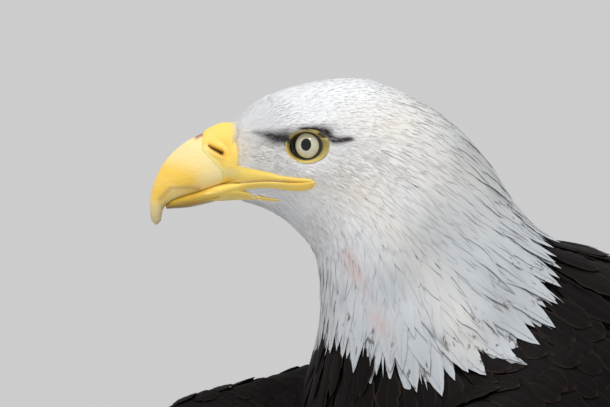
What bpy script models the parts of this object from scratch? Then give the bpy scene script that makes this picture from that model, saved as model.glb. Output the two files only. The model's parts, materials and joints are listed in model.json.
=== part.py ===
"""Adult bald eagle, standing: the solids of a still, life-size model. Metres, +Z up.

The bird faces -Y with its left side at +X. Its head is turned to the bird's right about an upright
line through the neck. The floor is z = 0. Every solid gives the outer form of its part, feathers
included. The flesh is one lofted form, parted by thin cuts into head, neck, breast and back.
"""

import math

import bmesh
import bpy
from mathutils import Matrix, Vector

MM = 0.001
GAP = 0.3 * MM
CUT = 1.3 * GAP
CLEAR = 1.5 * GAP

# Where things stand
EYE_HEIGHT = 0.565
NECK_LINE_Y = -0.040
EYE_AHEAD_OF_NECK_LINE = 65 * MM
HEAD_TURN = 30.0
FOOT_SPREAD = 0.064
FOOT_TURNED_OUT = 10.0
FOOT_BALL_Y = 0.036
MODEL_CENTRE = Vector((0.0, 0.1314, 0.0))

# Eye: the ball that shows between the lids
EYE_RADIUS = 10.0 * MM
EYE_BACK, EYE_UP, EYE_SIDE = 2.6 * MM, 0.5 * MM, 17.7 * MM
LID_OPENING = (7.0 * MM, 10.0 * MM, 7.6 * MM)
LID_OPENING_SIDE, LID_OPENING_UP = 28.5 * MM, 0.3 * MM

# Leg and foot. SOLE is how far down the ball of the foot its flat lies, as a share of its radius.
SHANK_TOP_Y = 0.055
BALL_RADIUS, BALL_HEIGHT = 17.5 * MM, 12.0 * MM
SOLE = 0.88
TOE_SPREAD = 46.0
TOE_TAPER, TOE_PADS = 0.22, 0.07
TOE_RISE_FROM = 0.62
TOE_FLAT = 0.9 * MM
CLAW_GIRTH, CLAW_TAPER = 4.9 * MM, 0.93
CLAW_START, CLAW_END = 20.0, -60.0
CLAW_CLEARANCE = 0.8 * MM

# Facets, and how many rows there are to each interval between stations
HEAD_STEPS, BODY_STEPS, BILL_STEPS, LIMB_STEPS = 3, 2, 2, 2
AROUND_BODY = 28
AROUND_BILL = 16
AROUND_WING = 14
AROUND_TAIL = 12
AROUND_THIGH = 14
AROUND_SHANK = 12
AROUND_TOE = 8
AROUND_CLAW = 6
ALONG_TOE = 7
ALONG_CLAW = 5

FEATHER_WHITE = (0.83, 0.82, 0.79, 1.0)
FEATHER_DARK = (0.030, 0.022, 0.018, 1.0)
BARE_YELLOW = (0.85, 0.55, 0.08, 1.0)
HORN_YELLOW = (0.78, 0.50, 0.16, 1.0)
CLAW_BLACK = (0.015, 0.014, 0.016, 1.0)
EYE_CREAM = (0.68, 0.64, 0.46, 1.0)


# ---------------------------------------------------------------- tools

def finish(name, colour, roughness):
    """A plain material of one colour."""
    material = bpy.data.materials.get(name) or bpy.data.materials.new(name)
    material.use_nodes = True
    shader = material.node_tree.nodes["Principled BSDF"]
    shader.inputs["Base Color"].default_value = colour
    shader.inputs["Roughness"].default_value = roughness
    shader.inputs["Metallic"].default_value = 0.0
    material.diffuse_color = colour
    return material


def between(stations, steps):
    """Smooth (Catmull-Rom) rows through the stations, steps to each interval."""
    rows = []
    last = len(stations) - 1
    for i in range(last):
        p0, p1 = stations[max(i - 1, 0)], stations[i]
        p2, p3 = stations[i + 1], stations[min(i + 2, last)]
        for k in range(steps):
            t = k / steps
            rows.append([
                0.5 * (2 * b + (c - a) * t + (2 * a - 5 * b + 4 * c - d) * t * t
                       + (3 * b - a - 3 * c + d) * t * t * t)
                for a, b, c, d in zip(p0, p1, p2, p3)
            ])
    rows.append(list(stations[last]))
    return rows


def loft(name, rings, into, material=None, floor=False):
    """A closed solid through rings of equally many points, with a flat cap at each end."""
    shape = bmesh.new()
    loops = []
    for ring in rings:
        loops.append([shape.verts.new((p[0], p[1], max(p[2], 0.0) if floor else p[2])) for p in ring])
    count = len(loops[0])
    for lower, upper in zip(loops, loops[1:]):
        for i in range(count):
            j = (i + 1) % count
            shape.faces.new((lower[i], lower[j], upper[j], upper[i]))
    shape.faces.new(reversed(loops[0]))
    shape.faces.new(loops[-1])
    bmesh.ops.recalc_face_normals(shape, faces=shape.faces)
    return keep(name, shape, into, material)


def keep(name, shape, into, material=None):
    """Makes an object of a bmesh, and puts it in a collection."""
    mesh = bpy.data.meshes.new(name)
    shape.to_mesh(mesh)
    shape.free()
    mesh.shade_smooth()
    piece = bpy.data.objects.new(name, mesh)
    if material:
        mesh.materials.append(material)
    into.objects.link(piece)
    return piece


def cut(piece, cutter):
    """Takes a cutter away from a piece."""
    cutter.hide_render = True
    cutter.display_type = "WIRE"
    step = piece.modifiers.new("less " + cutter.name, "BOOLEAN")
    step.operation = "DIFFERENCE"
    step.solver = "EXACT"
    step.object = cutter


def head_place(back, up, side=0.0, turn=HEAD_TURN):
    """A point given from the eyes' middle, as distances back, up and to the left, in the world."""
    angle = -math.radians(turn)
    x, y = side, back - EYE_AHEAD_OF_NECK_LINE
    return Vector((
        x * math.cos(angle) - y * math.sin(angle),
        x * math.sin(angle) + y * math.cos(angle) + NECK_LINE_Y,
        up + EYE_HEIGHT,
    ))


def half_width(t, widest, squareness):
    """Breadth of a section at t (0 at its top, 1 at its bottom), as a share of its greatest."""
    skewed = t ** (math.log(0.5) / math.log(widest))
    return (4 * skewed * (1 - skewed)) ** squareness


# ---------------------------------------------------------------- head, neck and trunk

# The brow: height, level over the eye, rise to the rear, thickness, middle and half length, in mm
BROW = (2.6, 6.5, 0.10, 4.0, -1.0, 15.0)
# The hollow round the eye and that of the lores: depth, middle back and up, half length and height
HOLLOWS = ((3.0, 1.0, -1.5, 12.0, 9.0), (2.0, -22.0, -1.0, 9.0, 9.0))


def relief(back, up):
    """How far the face stands out (brow) or in (eye hollow, lores), in mm, back and up in mm."""
    height, level, rise, thickness, middle, reach = BROW
    along = math.exp(-((back - middle) / reach) ** 4)
    stands = height * along * math.exp(-((up - level - rise * back) / thickness) ** 2)
    for depth, at_back, at_up, long, high in HOLLOWS:
        stands -= depth * math.exp(-((back - at_back) / long) ** 2 - ((up - at_up) / high) ** 2)
    return stands


# Each station: turn of the plane's heading, top back and up, bottom back and up, half width, place of
# the widest level, squareness. Back and up are from the eyes, in mm; the turn fades down the neck.
HEAD_STATIONS = (
    (30, -36.0, 13.2, -34.6, -27.0, 15.8, 0.56, 0.42),
    (30, -31.0, 18.6, -28.0, -28.6, 18.0, 0.55, 0.42),
    (30, -22.0, 25.0, -20.0, -31.5, 22.0, 0.52, 0.42),
    (30, -11.0, 29.6, -11.0, -37.0, 27.0, 0.46, 0.43),
    (30, 4.0, 33.2, -3.0, -45.0, 30.6, 0.44, 0.44),
    (30, 19.0, 35.2, 1.8, -51.0, 33.6, 0.46, 0.46),
    (30, 34.0, 34.0, 4.4, -56.5, 36.0, 0.48, 0.47),
    (30, 49.0, 28.6, 5.0, -62.5, 38.0, 0.50, 0.48),
    (30, 64.0, 21.2, 5.2, -69.0, 40.0, 0.50, 0.48),
    (29, 79.0, 10.2, 5.2, -76.5, 43.0, 0.50, 0.48),
    (26, 94.0, -8.8, 5.0, -84.5, 47.0, 0.50, 0.48),
    (20, 109.0, -33.0, 3.5, -93.0, 53.0, 0.50, 0.48),
)
HEAD_END = 7
NECK_END = 11

# The trunk, from its place in the body: top y and z, bottom y and z, half width, widest, squareness
TRUNK_STATIONS = (
    (0, 0.014, 0.5240, -0.1020, 0.4650, 61.0, 0.50, 0.47),
    (0, 0.050, 0.5150, -0.1070, 0.4270, 76.0, 0.50, 0.46),
    (0, 0.084, 0.4970, -0.1060, 0.3770, 90.0, 0.51, 0.46),
    (0, 0.112, 0.4670, -0.0860, 0.3270, 96.0, 0.52, 0.46),
    (0, 0.136, 0.4270, -0.0440, 0.2850, 94.0, 0.52, 0.46),
    (0, 0.160, 0.3800, 0.0100, 0.2490, 83.0, 0.50, 0.47),
    (0, 0.184, 0.3370, 0.0740, 0.2170, 68.0, 0.48, 0.48),
    (0, 0.208, 0.2940, 0.1350, 0.1930, 54.0, 0.46, 0.48),
    (0, 0.240, 0.2420, 0.1960, 0.1780, 43.0, 0.45, 0.48),
    (0, 0.288, 0.1820, 0.2640, 0.1500, 33.0, 0.45, 0.48),
)
BREAST_END = 3


def flesh_stations():
    """Head, neck and trunk stations in one list, all as (turn, top y, z, bottom y, z, half width, ...)."""
    stations = []
    for turn, top_back, top_up, low_back, low_up, width, widest, square in HEAD_STATIONS:
        stations.append((
            turn,
            top_back * MM - EYE_AHEAD_OF_NECK_LINE + NECK_LINE_Y, top_up * MM + EYE_HEIGHT,
            low_back * MM - EYE_AHEAD_OF_NECK_LINE + NECK_LINE_Y, low_up * MM + EYE_HEIGHT,
            width * MM, widest, square,
        ))
    for turn, top_y, top_z, low_y, low_z, width, widest, square in TRUNK_STATIONS:
        stations.append((turn, top_y, top_z, low_y, low_z, width * MM, widest, square))
    return stations


def flesh_ring(row, grown=0.0):
    """One section of the flesh. A positive grown makes it larger all round, for a cutter."""
    turn, top_y, top_z, low_y, low_z, width, widest, square = row
    axis = Vector((0.0, NECK_LINE_Y, 0.0))
    rotation = Matrix.Rotation(-math.radians(turn), 3, "Z")
    top, low = Vector((0.0, top_y, top_z)), Vector((0.0, low_y, low_z))
    outward = (top - low).normalized() * grown
    ring = []
    for i in range(AROUND_BODY):
        angle = 2 * math.pi * i / AROUND_BODY
        t = (1 - math.cos(angle)) / 2
        side = math.copysign((width + grown) * half_width(t, widest, square), math.sin(angle))
        if i in (0, AROUND_BODY // 2):
            side = 0.0
        point = (top + outward).lerp(low - outward, t)
        back = (point.y - NECK_LINE_Y + EYE_AHEAD_OF_NECK_LINE) / MM
        up = (point.z - EYE_HEIGHT) / MM
        side += relief(back, up) * MM * side / width
        point.x = side
        ring.append(rotation @ (point - axis) + axis)
    return ring


def flesh_rings(first, last, steps, grown=0.0):
    """The rings from one station to another, stopping just short of the second for a thin cut."""
    rows = between(flesh_stations(), steps)
    chosen = rows[first * steps:last * steps + 1]
    return [flesh_ring(row, grown) for row in chosen]


def parted(rings):
    """Draws the last ring back along the form, so that a thin cut parts it from the next piece."""
    rings[-1] = [a + (b - a).normalized() * CUT for a, b in zip(rings[-1], rings[-2])]
    return rings


def flesh(parts, cutters):
    white = finish("white_feathers", FEATHER_WHITE, 0.75)
    dark = finish("dark_feathers", FEATHER_DARK, 0.7)
    stations = len(HEAD_STATIONS) + len(TRUNK_STATIONS)
    breast_end = len(HEAD_STATIONS) + BREAST_END
    head = loft("head", parted(flesh_rings(0, HEAD_END, HEAD_STEPS)), parts, white)
    loft("neck", parted(flesh_rings(HEAD_END, NECK_END, BODY_STEPS)), parts, white)
    loft("breast", parted(flesh_rings(NECK_END, breast_end, BODY_STEPS)), parts, dark)
    loft("trunk", flesh_rings(breast_end, stations - 1, BODY_STEPS), parts, dark)
    rings = flesh_rings(HEAD_END, stations - 1, BODY_STEPS, CUT)
    past_the_end = (rings[-1][0] - rings[-2][0]).normalized() * 2 * GAP
    rings[-1] = [point + past_the_end for point in rings[-1]]
    return head, loft("body_clearance", rings, cutters)


# ---------------------------------------------------------------- eyes and bill

def ball_shape(name, place, radii, into, material=None):
    """A ball, or an egg whose radii lie across, along and up in the turned head."""
    ball = bmesh.new()
    bmesh.ops.create_uvsphere(ball, u_segments=12, v_segments=8, radius=1.0)
    bmesh.ops.scale(ball, verts=ball.verts, vec=radii)
    turn = Matrix.Rotation(-math.radians(HEAD_TURN), 3, "Z")
    bmesh.ops.rotate(ball, verts=ball.verts, matrix=turn)
    bmesh.ops.translate(ball, verts=ball.verts, vec=place)
    return keep(name, ball, into, material)


def eyes(parts, cutters, head):
    cream = finish("eye", EYE_CREAM, 0.15)
    for side, name in ((1, "left"), (-1, "right")):
        place = head_place(EYE_BACK, EYE_UP, side * EYE_SIDE)
        opening = head_place(0.0, LID_OPENING_UP, side * LID_OPENING_SIDE)
        ball_shape("eye_" + name, place, (EYE_RADIUS,) * 3, parts, cream)
        cut(head, ball_shape("socket_" + name, place, (EYE_RADIUS + GAP,) * 3, cutters))
        cut(head, ball_shape("lid_opening_" + name, opening, LID_OPENING, cutters))


# Upper bill: ridge back and up, cutting edge back and up, half width, widest, squareness, in mm
BILL_STATIONS = (
    (-36.4, 12.6, -35.3, -18.0, 15.0, 0.66, 0.40),
    (-44.5, 10.6, -40.0, -18.8, 13.6, 0.68, 0.40),
    (-52.0, 7.0, -45.0, -19.8, 12.2, 0.70, 0.40),
    (-60.0, 3.0, -52.0, -22.7, 10.8, 0.68, 0.42),
    (-67.0, -2.6, -59.0, -24.6, 9.2, 0.66, 0.43),
    (-72.2, -8.8, -65.5, -26.4, 7.6, 0.62, 0.44),
    (-76.2, -16.5, -70.0, -28.8, 6.0, 0.56, 0.46),
    (-78.2, -24.5, -72.0, -31.6, 4.5, 0.52, 0.48),
    (-78.5, -31.0, -72.6, -34.6, 3.2, 0.50, 0.50),
    (-77.9, -36.2, -73.2, -37.0, 2.0, 0.50, 0.50),
    (-75.6, -39.2, -74.9, -38.6, 0.5, 0.50, 0.50),
)
CERE_END = 2

# Lower bill, from the gape forward: upper edge, lower edge, half width, widest, squareness, in mm
LOWER_BILL_STATIONS = (
    (-35.3, -18.5, -34.9, -26.2, 13.6, 0.40, 0.40),
    (-44.0, -20.3, -43.0, -26.5, 11.6, 0.40, 0.42),
    (-53.0, -23.6, -51.5, -28.6, 9.2, 0.40, 0.44),
    (-61.0, -25.7, -59.5, -30.2, 7.0, 0.40, 0.46),
    (-67.0, -27.6, -66.0, -30.7, 4.6, 0.42, 0.48),
    (-70.2, -29.9, -70.1, -30.8, 1.6, 0.50, 0.50),
)


def bill_ring(row):
    top_back, top_up, low_back, low_up, width, widest, square = row
    ring = []
    for i in range(AROUND_BILL):
        angle = 2 * math.pi * i / AROUND_BILL
        t = (1 - math.cos(angle)) / 2
        side = 0.0
        if i not in (0, AROUND_BILL // 2):
            side = math.copysign(width * half_width(t, widest, square), math.sin(angle))
        back = top_back + (low_back - top_back) * t
        up = top_up + (low_up - top_up) * t
        ring.append(head_place(back * MM, up * MM, side * MM))
    return ring


def bill(parts):
    yellow = finish("bare_yellow_skin", BARE_YELLOW, 0.45)
    horn = finish("bill_horn", HORN_YELLOW, 0.3)
    rings = [bill_ring(row) for row in between(BILL_STATIONS, BILL_STEPS)]
    cere_last = CERE_END * BILL_STEPS
    loft("cere", parted(rings[:cere_last + 1]), parts, yellow)
    loft("bill_upper", rings[cere_last:], parts, horn)
    rings = [bill_ring(row) for row in between(LOWER_BILL_STATIONS, BILL_STEPS)]
    loft("bill_lower", rings, parts, horn)


# ---------------------------------------------------------------- wings and tail

# The folded wing, wrist to tip: top edge x, y, z, lower edge x, y, z, half thickness, in metres
WING_STATIONS = (
    (0.104, -0.134, 0.405, 0.102, -0.132, 0.381, 0.010),
    (0.096, -0.118, 0.424, 0.098, -0.110, 0.341, 0.025),
    (0.082, -0.072, 0.446, 0.096, -0.070, 0.303, 0.030),
    (0.075, -0.012, 0.474, 0.097, -0.020, 0.271, 0.027),
    (0.068, 0.052, 0.480, 0.091, 0.025, 0.247, 0.025),
    (0.058, 0.106, 0.443, 0.083, 0.070, 0.221, 0.022),
    (0.048, 0.155, 0.386, 0.076, 0.120, 0.193, 0.018),
    (0.040, 0.206, 0.308, 0.071, 0.178, 0.164, 0.013),
    (0.033, 0.262, 0.239, 0.067, 0.238, 0.135, 0.008),
    (0.028, 0.315, 0.178, 0.066, 0.294, 0.122, 0.0055),
    (0.028, 0.360, 0.126, 0.064, 0.348, 0.098, 0.004),
    (0.036, 0.394, 0.087, 0.054, 0.388, 0.078, 0.002),
)
ARM_END = 5
RIGHT_WING_RAISE, RIGHT_WING_FORWARD = 0.030, 0.014

# The closed tail, root to end: middle y and z, half width, half thickness, in metres
TAIL_STATIONS = (
    (0.196, 0.227, 0.030, 0.0130),
    (0.240, 0.191, 0.036, 0.0100),
    (0.300, 0.139, 0.044, 0.0065),
    (0.360, 0.087, 0.052, 0.0055),
    (0.402, 0.051, 0.056, 0.0040),
    (0.418, 0.037, 0.050, 0.0030),
    (0.426, 0.030, 0.030, 0.0020),
)


def wing_ring(row, side):
    """A lens from the wing's top edge to its lower edge, bowed out from the body."""
    top, low = Vector(row[0:3]), Vector(row[3:6])
    thickness = row[6]
    out = (low - top).cross(Vector((0.0, 1.0, -0.7))).normalized()
    if out.x < 0:
        out = -out
    ring = []
    for i in range(AROUND_WING):
        angle = 2 * math.pi * i / AROUND_WING
        t = (1 - math.cos(angle)) / 2
        bow = thickness * math.sin(angle)
        point = top.lerp(low, t) + out * bow
        ring.append(Vector((side * point.x, point.y, point.z)))
    return ring


def wing_rows(side):
    rows = []
    for index, row in enumerate(WING_STATIONS):
        share = max(0.0, 1.0 - index / ARM_END) ** 2 if side < 0 else 0.0
        up, ahead = RIGHT_WING_RAISE * share, RIGHT_WING_FORWARD * share
        x1, y1, z1, x2, y2, z2, thickness = row
        rows.append((x1, y1 - ahead, z1 + up, x2, y2 - ahead, z2 + up, thickness))
    return rows


def tail_ring(row, grown=0.0):
    y, z, width, thickness = row
    up = Vector((0.0, 0.65, 0.76))
    ring = []
    for i in range(AROUND_TAIL):
        angle = 2 * math.pi * i / AROUND_TAIL
        across = math.copysign(abs(math.sin(angle)) ** 0.8, math.sin(angle)) * (width + grown)
        crown = 0.25 * thickness * (1 - (across / width) ** 2)
        lift = math.cos(angle) * (thickness + grown) + crown
        ring.append(Vector((across, y, z)) + up * lift)
    return ring


def wings_and_tail(parts, cutters, body):
    dark = finish("flight_feathers", FEATHER_DARK, 0.6)
    white = finish("tail_feathers", FEATHER_WHITE, 0.7)
    rows = between(TAIL_STATIONS, LIMB_STEPS)
    tail = loft("tail", [tail_ring(row) for row in rows], parts, white)
    cut(tail, body)
    clearance = loft("tail_clearance", [tail_ring(row, CLEAR) for row in rows], cutters)
    wings = []
    for side, name in ((1, "left"), (-1, "right")):
        rings = [wing_ring(row, side) for row in between(wing_rows(side), LIMB_STEPS)]
        arm_last = ARM_END * LIMB_STEPS
        wing = loft("wing_" + name, parted(rings[:arm_last + 1]), parts, dark)
        flight = loft("flight_feathers_" + name, rings[arm_last:], parts, dark)
        for piece in (wing, flight):
            cut(piece, body)
        cut(flight, clearance)
        wings.append((wing, flight))
    return wings


# ---------------------------------------------------------------- legs and feet

# The feathered thigh, top to hock: middle x, y, z, half width, half depth, in metres
THIGH_STATIONS = (
    (0.048, 0.006, 0.320, 0.036, 0.066),
    (0.054, 0.012, 0.262, 0.040, 0.064),
    (0.060, 0.027, 0.205, 0.038, 0.054),
    (0.063, 0.042, 0.152, 0.031, 0.041),
    (0.064, 0.051, 0.110, 0.023, 0.029),
    (0.064, 0.054, 0.078, 0.015, 0.018),
)

# Toes: name, heading from straight ahead toward the outside, length, root radius, claw length, in mm
TOES = (
    ("inner", -TOE_SPREAD, 50.0, 7.2, 36.0),
    ("middle", 0.0, 68.0, 7.2, 32.0),
    ("outer", TOE_SPREAD, 56.0, 6.6, 27.0),
    ("hind", 176.0, 34.0, 7.4, 38.0),
)


def oval(centre, half_x, half_y, count):
    return [
        centre + Vector((half_x * math.cos(2 * math.pi * i / count),
                         half_y * math.sin(2 * math.pi * i / count), 0.0))
        for i in range(count)
    ]


def thigh(name, side, parts, cutters, body):
    dark = finish("dark_feathers", FEATHER_DARK, 0.7)
    rows = between(THIGH_STATIONS, LIMB_STEPS)
    made = []
    for grown, title, into in ((0.0, "thigh_", parts), (CLEAR, "thigh_clearance_", cutters)):
        rings = []
        for x, y, z, width, depth in rows:
            centre = Vector((side * x, y, z))
            rings.append(oval(centre, width + grown, depth + grown, AROUND_THIGH))
        if grown:
            rings[-1] = [p - Vector((0, 0, grown)) for p in rings[-1]]
        made.append(loft(title + name, rings, into, dark))
    cut(made[0], body)
    return made[1]


# The shank: share of the way down to the ball of the foot, half width, half depth, in mm
SHANK_STATIONS = ((0.0, 8.2, 9.6), (0.35, 7.4, 8.6), (0.65, 7.6, 8.8), (0.85, 10.5, 11.5))
BALL_LEVELS = (0.55, 0.0, -0.55, -SOLE)


def shank(name, side, parts):
    """The bare scaled shank, from under the thigh's feathers down to the ball of the foot."""
    yellow = finish("scaled_yellow_skin", BARE_YELLOW, 0.5)
    top_z = THIGH_STATIONS[-1][2] - GAP
    rings = []
    for share, half_x, half_y in SHANK_STATIONS:
        centre = Vector((side * FOOT_SPREAD, SHANK_TOP_Y + (FOOT_BALL_Y - SHANK_TOP_Y) * share,
                         top_z + (2 * BALL_HEIGHT - top_z) * share))
        rings.append(oval(centre, half_x * MM, half_y * MM, AROUND_SHANK))
    for lift in BALL_LEVELS:
        radius = BALL_RADIUS * math.sqrt(1 - lift * lift)
        centre = Vector((side * FOOT_SPREAD, FOOT_BALL_Y, BALL_HEIGHT * (1 + lift / SOLE)))
        rings.append(oval(centre, radius, radius, AROUND_SHANK))
    return loft("shank_" + name, rings, parts, yellow)


def claw_path(length):
    """Points along a claw's arc, as (ahead, up) from its root, with the share of its length."""
    start, end = math.radians(CLAW_START), math.radians(CLAW_END)
    radius = length / (start - end)
    path = []
    for k in range(ALONG_CLAW + 1):
        heading = start + (end - start) * k / ALONG_CLAW
        path.append((radius * (math.sin(start) - math.sin(heading)),
                     radius * (math.cos(heading) - math.cos(start)),
                     heading, k / ALONG_CLAW))
    return path


def across_ring(place, ahead, heading, half_wide, half_high, count):
    """A ring across a toe or claw that points along ahead, tipped up by heading."""
    wide = Vector((-ahead.y, ahead.x, 0.0))
    high = ahead * -math.sin(heading) + Vector((0.0, 0.0, math.cos(heading)))
    angles = [2 * math.pi * (i + 0.5) / count for i in range(count)]
    return [
        place + wide * (half_wide * math.cos(angle)) + high * (half_high * math.sin(angle))
        for angle in angles
    ]


def toe_and_claw(name, side, toe, parts):
    yellow = finish("scaled_yellow_skin", BARE_YELLOW, 0.5)
    black = finish("claw_horn", CLAW_BLACK, 0.25)
    title, heading, length, radius, claw_length = toe
    angle = math.radians(heading + FOOT_TURNED_OUT)
    ahead = Vector((side * math.sin(angle), -math.cos(angle), 0.0))
    ball = Vector((side * FOOT_SPREAD, FOOT_BALL_Y, 0.0))
    length, radius, claw_length = length * MM, radius * MM, claw_length * MM

    path = claw_path(claw_length)
    drop = -path[-1][1]
    tip_height = drop + CLAW_CLEARANCE
    first = BALL_RADIUS + 2.5 * GAP
    rings = []
    for k in range(ALONG_TOE + 1):
        t = k / ALONG_TOE
        pads = 1.0 + TOE_PADS * math.cos(6 * math.pi * t)
        girth = radius * (1.0 - TOE_TAPER * t) * pads
        rise = max(0.0, (t - TOE_RISE_FROM) / (1.0 - TOE_RISE_FROM)) ** 1.6
        low = girth - TOE_FLAT
        height = low + (tip_height - low) * rise
        place = ball + ahead * (first + length * t) + Vector((0.0, 0.0, height))
        rings.append(across_ring(place, ahead, 0.0, girth * 0.98, girth, AROUND_TOE))
    loft(f"toe_{name}_{title}", rings, parts, yellow, floor=True)

    rings = []
    root = ball + ahead * (first + length + GAP)
    for forward, up, tip, share in path:
        girth = CLAW_GIRTH * (1.0 - CLAW_TAPER * share ** 1.25)
        place = root + ahead * forward + Vector((0.0, 0.0, tip_height + up))
        slope = 0.0 if share == 0 else tip
        rings.append(across_ring(place, ahead, slope, girth * 0.82, girth, AROUND_CLAW))
    loft(f"claw_{name}_{title}", rings, parts, black)


def legs(parts, cutters, body):
    clearances = []
    for side, name in ((1, "left"), (-1, "right")):
        clearances.append(thigh(name, side, parts, cutters, body))
        shank(name, side, parts)
        for toe in TOES:
            toe_and_claw(name, side, toe, parts)
    return clearances


# ---------------------------------------------------------------- the whole bird

def main():
    for old in list(bpy.data.objects):
        bpy.data.objects.remove(old, do_unlink=True)
    parts = bpy.data.collections.new("bald_eagle")
    cutters = bpy.data.collections.new("bald_eagle_cutters")
    for collection in (parts, cutters):
        bpy.context.scene.collection.children.link(collection)

    head, body = flesh(parts, cutters)
    eyes(parts, cutters, head)
    bill(parts)
    wings = wings_and_tail(parts, cutters, body)
    for (wing, flight), clearance in zip(wings, legs(parts, cutters, body)):
        cut(wing, clearance)
        cut(flight, clearance)

    stand = bpy.data.objects.new("bald_eagle_place", None)
    stand.location = -MODEL_CENTRE
    parts.objects.link(stand)
    for piece in list(parts.objects) + list(cutters.objects):
        if piece is not stand:
            piece.parent = stand


main()
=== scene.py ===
import itertools
import json
import math

import bmesh
import bpy
import numpy as np
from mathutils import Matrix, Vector
from mathutils.bvhtree import BVHTree

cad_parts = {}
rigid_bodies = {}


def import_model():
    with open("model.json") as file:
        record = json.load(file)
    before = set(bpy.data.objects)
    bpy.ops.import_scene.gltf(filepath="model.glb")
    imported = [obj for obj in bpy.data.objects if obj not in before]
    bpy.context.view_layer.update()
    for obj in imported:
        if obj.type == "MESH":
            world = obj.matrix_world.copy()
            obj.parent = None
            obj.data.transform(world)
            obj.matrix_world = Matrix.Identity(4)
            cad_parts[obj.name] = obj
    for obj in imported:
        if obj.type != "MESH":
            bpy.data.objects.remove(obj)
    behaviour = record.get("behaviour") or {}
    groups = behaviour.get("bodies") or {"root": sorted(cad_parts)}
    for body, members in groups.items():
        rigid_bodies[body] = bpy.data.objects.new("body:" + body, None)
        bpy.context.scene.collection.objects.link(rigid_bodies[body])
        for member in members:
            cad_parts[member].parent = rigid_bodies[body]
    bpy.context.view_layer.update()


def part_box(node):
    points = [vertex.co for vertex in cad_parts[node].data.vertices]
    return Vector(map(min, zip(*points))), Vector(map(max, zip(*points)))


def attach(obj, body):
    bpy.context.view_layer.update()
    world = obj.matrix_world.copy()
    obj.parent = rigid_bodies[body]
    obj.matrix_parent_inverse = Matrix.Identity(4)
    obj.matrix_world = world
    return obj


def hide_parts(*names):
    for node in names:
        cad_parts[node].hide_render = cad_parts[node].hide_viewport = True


bl_info = {
    "name": "Bald eagle",
    "version": (1, 0, 0),
    "blender": (4, 5, 0),
    "location": "3D View > Sidebar > Eagle",
    "description": "Skin, feathers, bill, eyes, feet and stage of a life-size bald eagle",
    "category": "Object",
}

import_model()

MM = 0.001
UP = Vector((0.0, 0.0, 1.0))
PIECES = {}
SIDES = {1: "left", -1: "right"}


# ---------------------------------------------------------------- places on the bird

def middle(node):
    low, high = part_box(node)
    return (low + high) / 2


EYES = {1: middle("eye_left"), -1: middle("eye_right")}
SIDE = (EYES[1] - EYES[-1]).normalized()
BACK = UP.cross(SIDE).normalized()
BETWEEN_EYES = (EYES[1] + EYES[-1]) / 2 - (2.6 * BACK + 0.5 * UP) * MM
HEAD_AXES = np.array([BACK, UP, SIDE])


def head_point(back, up, side):
    """A point given in mm back, up and to the left of the place between the eyes."""
    return BETWEEN_EYES + (back * BACK + up * UP + side * SIDE) * MM


def head_points(rows):
    return np.asarray(rows, float) @ HEAD_AXES * MM + np.array(BETWEEN_EYES)


def from_eyes(points):
    """Points in the head's own measure: mm back, up and to the left of the place between the eyes."""
    return (np.asarray(points, float) - np.array(BETWEEN_EYES)) @ HEAD_AXES.T / MM


def smooth(x, low, high):
    t = np.clip((x - low) / (high - low), 0.0, 1.0)
    return t * t * (3 - 2 * t)


def bell(x, middle_at, reach):
    return np.exp(-((x - middle_at) / reach) ** 2)


def near_line(b, u, line):
    """Distance in mm, seen from the side, from points to a line of (back, up) points."""
    best = np.full(np.shape(b), 1e9)
    for (b0, u0), (b1, u1) in zip(line, line[1:]):
        along = np.clip(((b - b0) * (b1 - b0) + (u - u0) * (u1 - u0)) / ((b1 - b0) ** 2 + (u1 - u0) ** 2), 0, 1)
        best = np.minimum(best, np.hypot(b - b0 - along * (b1 - b0), u - u0 - along * (u1 - u0)))
    return best


def between(stations, steps):
    """Smooth (Catmull-Rom) rows through the stations, steps to each interval."""
    rows, last = [], len(stations) - 1
    for i in range(last):
        p0, p1 = stations[max(i - 1, 0)], stations[i]
        p2, p3 = stations[i + 1], stations[min(i + 2, last)]
        for k in range(steps):
            t = k / steps
            rows.append([
                0.5 * (2 * b + (c - a) * t + (2 * a - 5 * b + 4 * c - d) * t * t
                       + (3 * b - a - 3 * c + d) * t * t * t)
                for a, b, c, d in zip(p0, p1, p2, p3)
            ])
    rows.append(list(stations[last]))
    return rows


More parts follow.
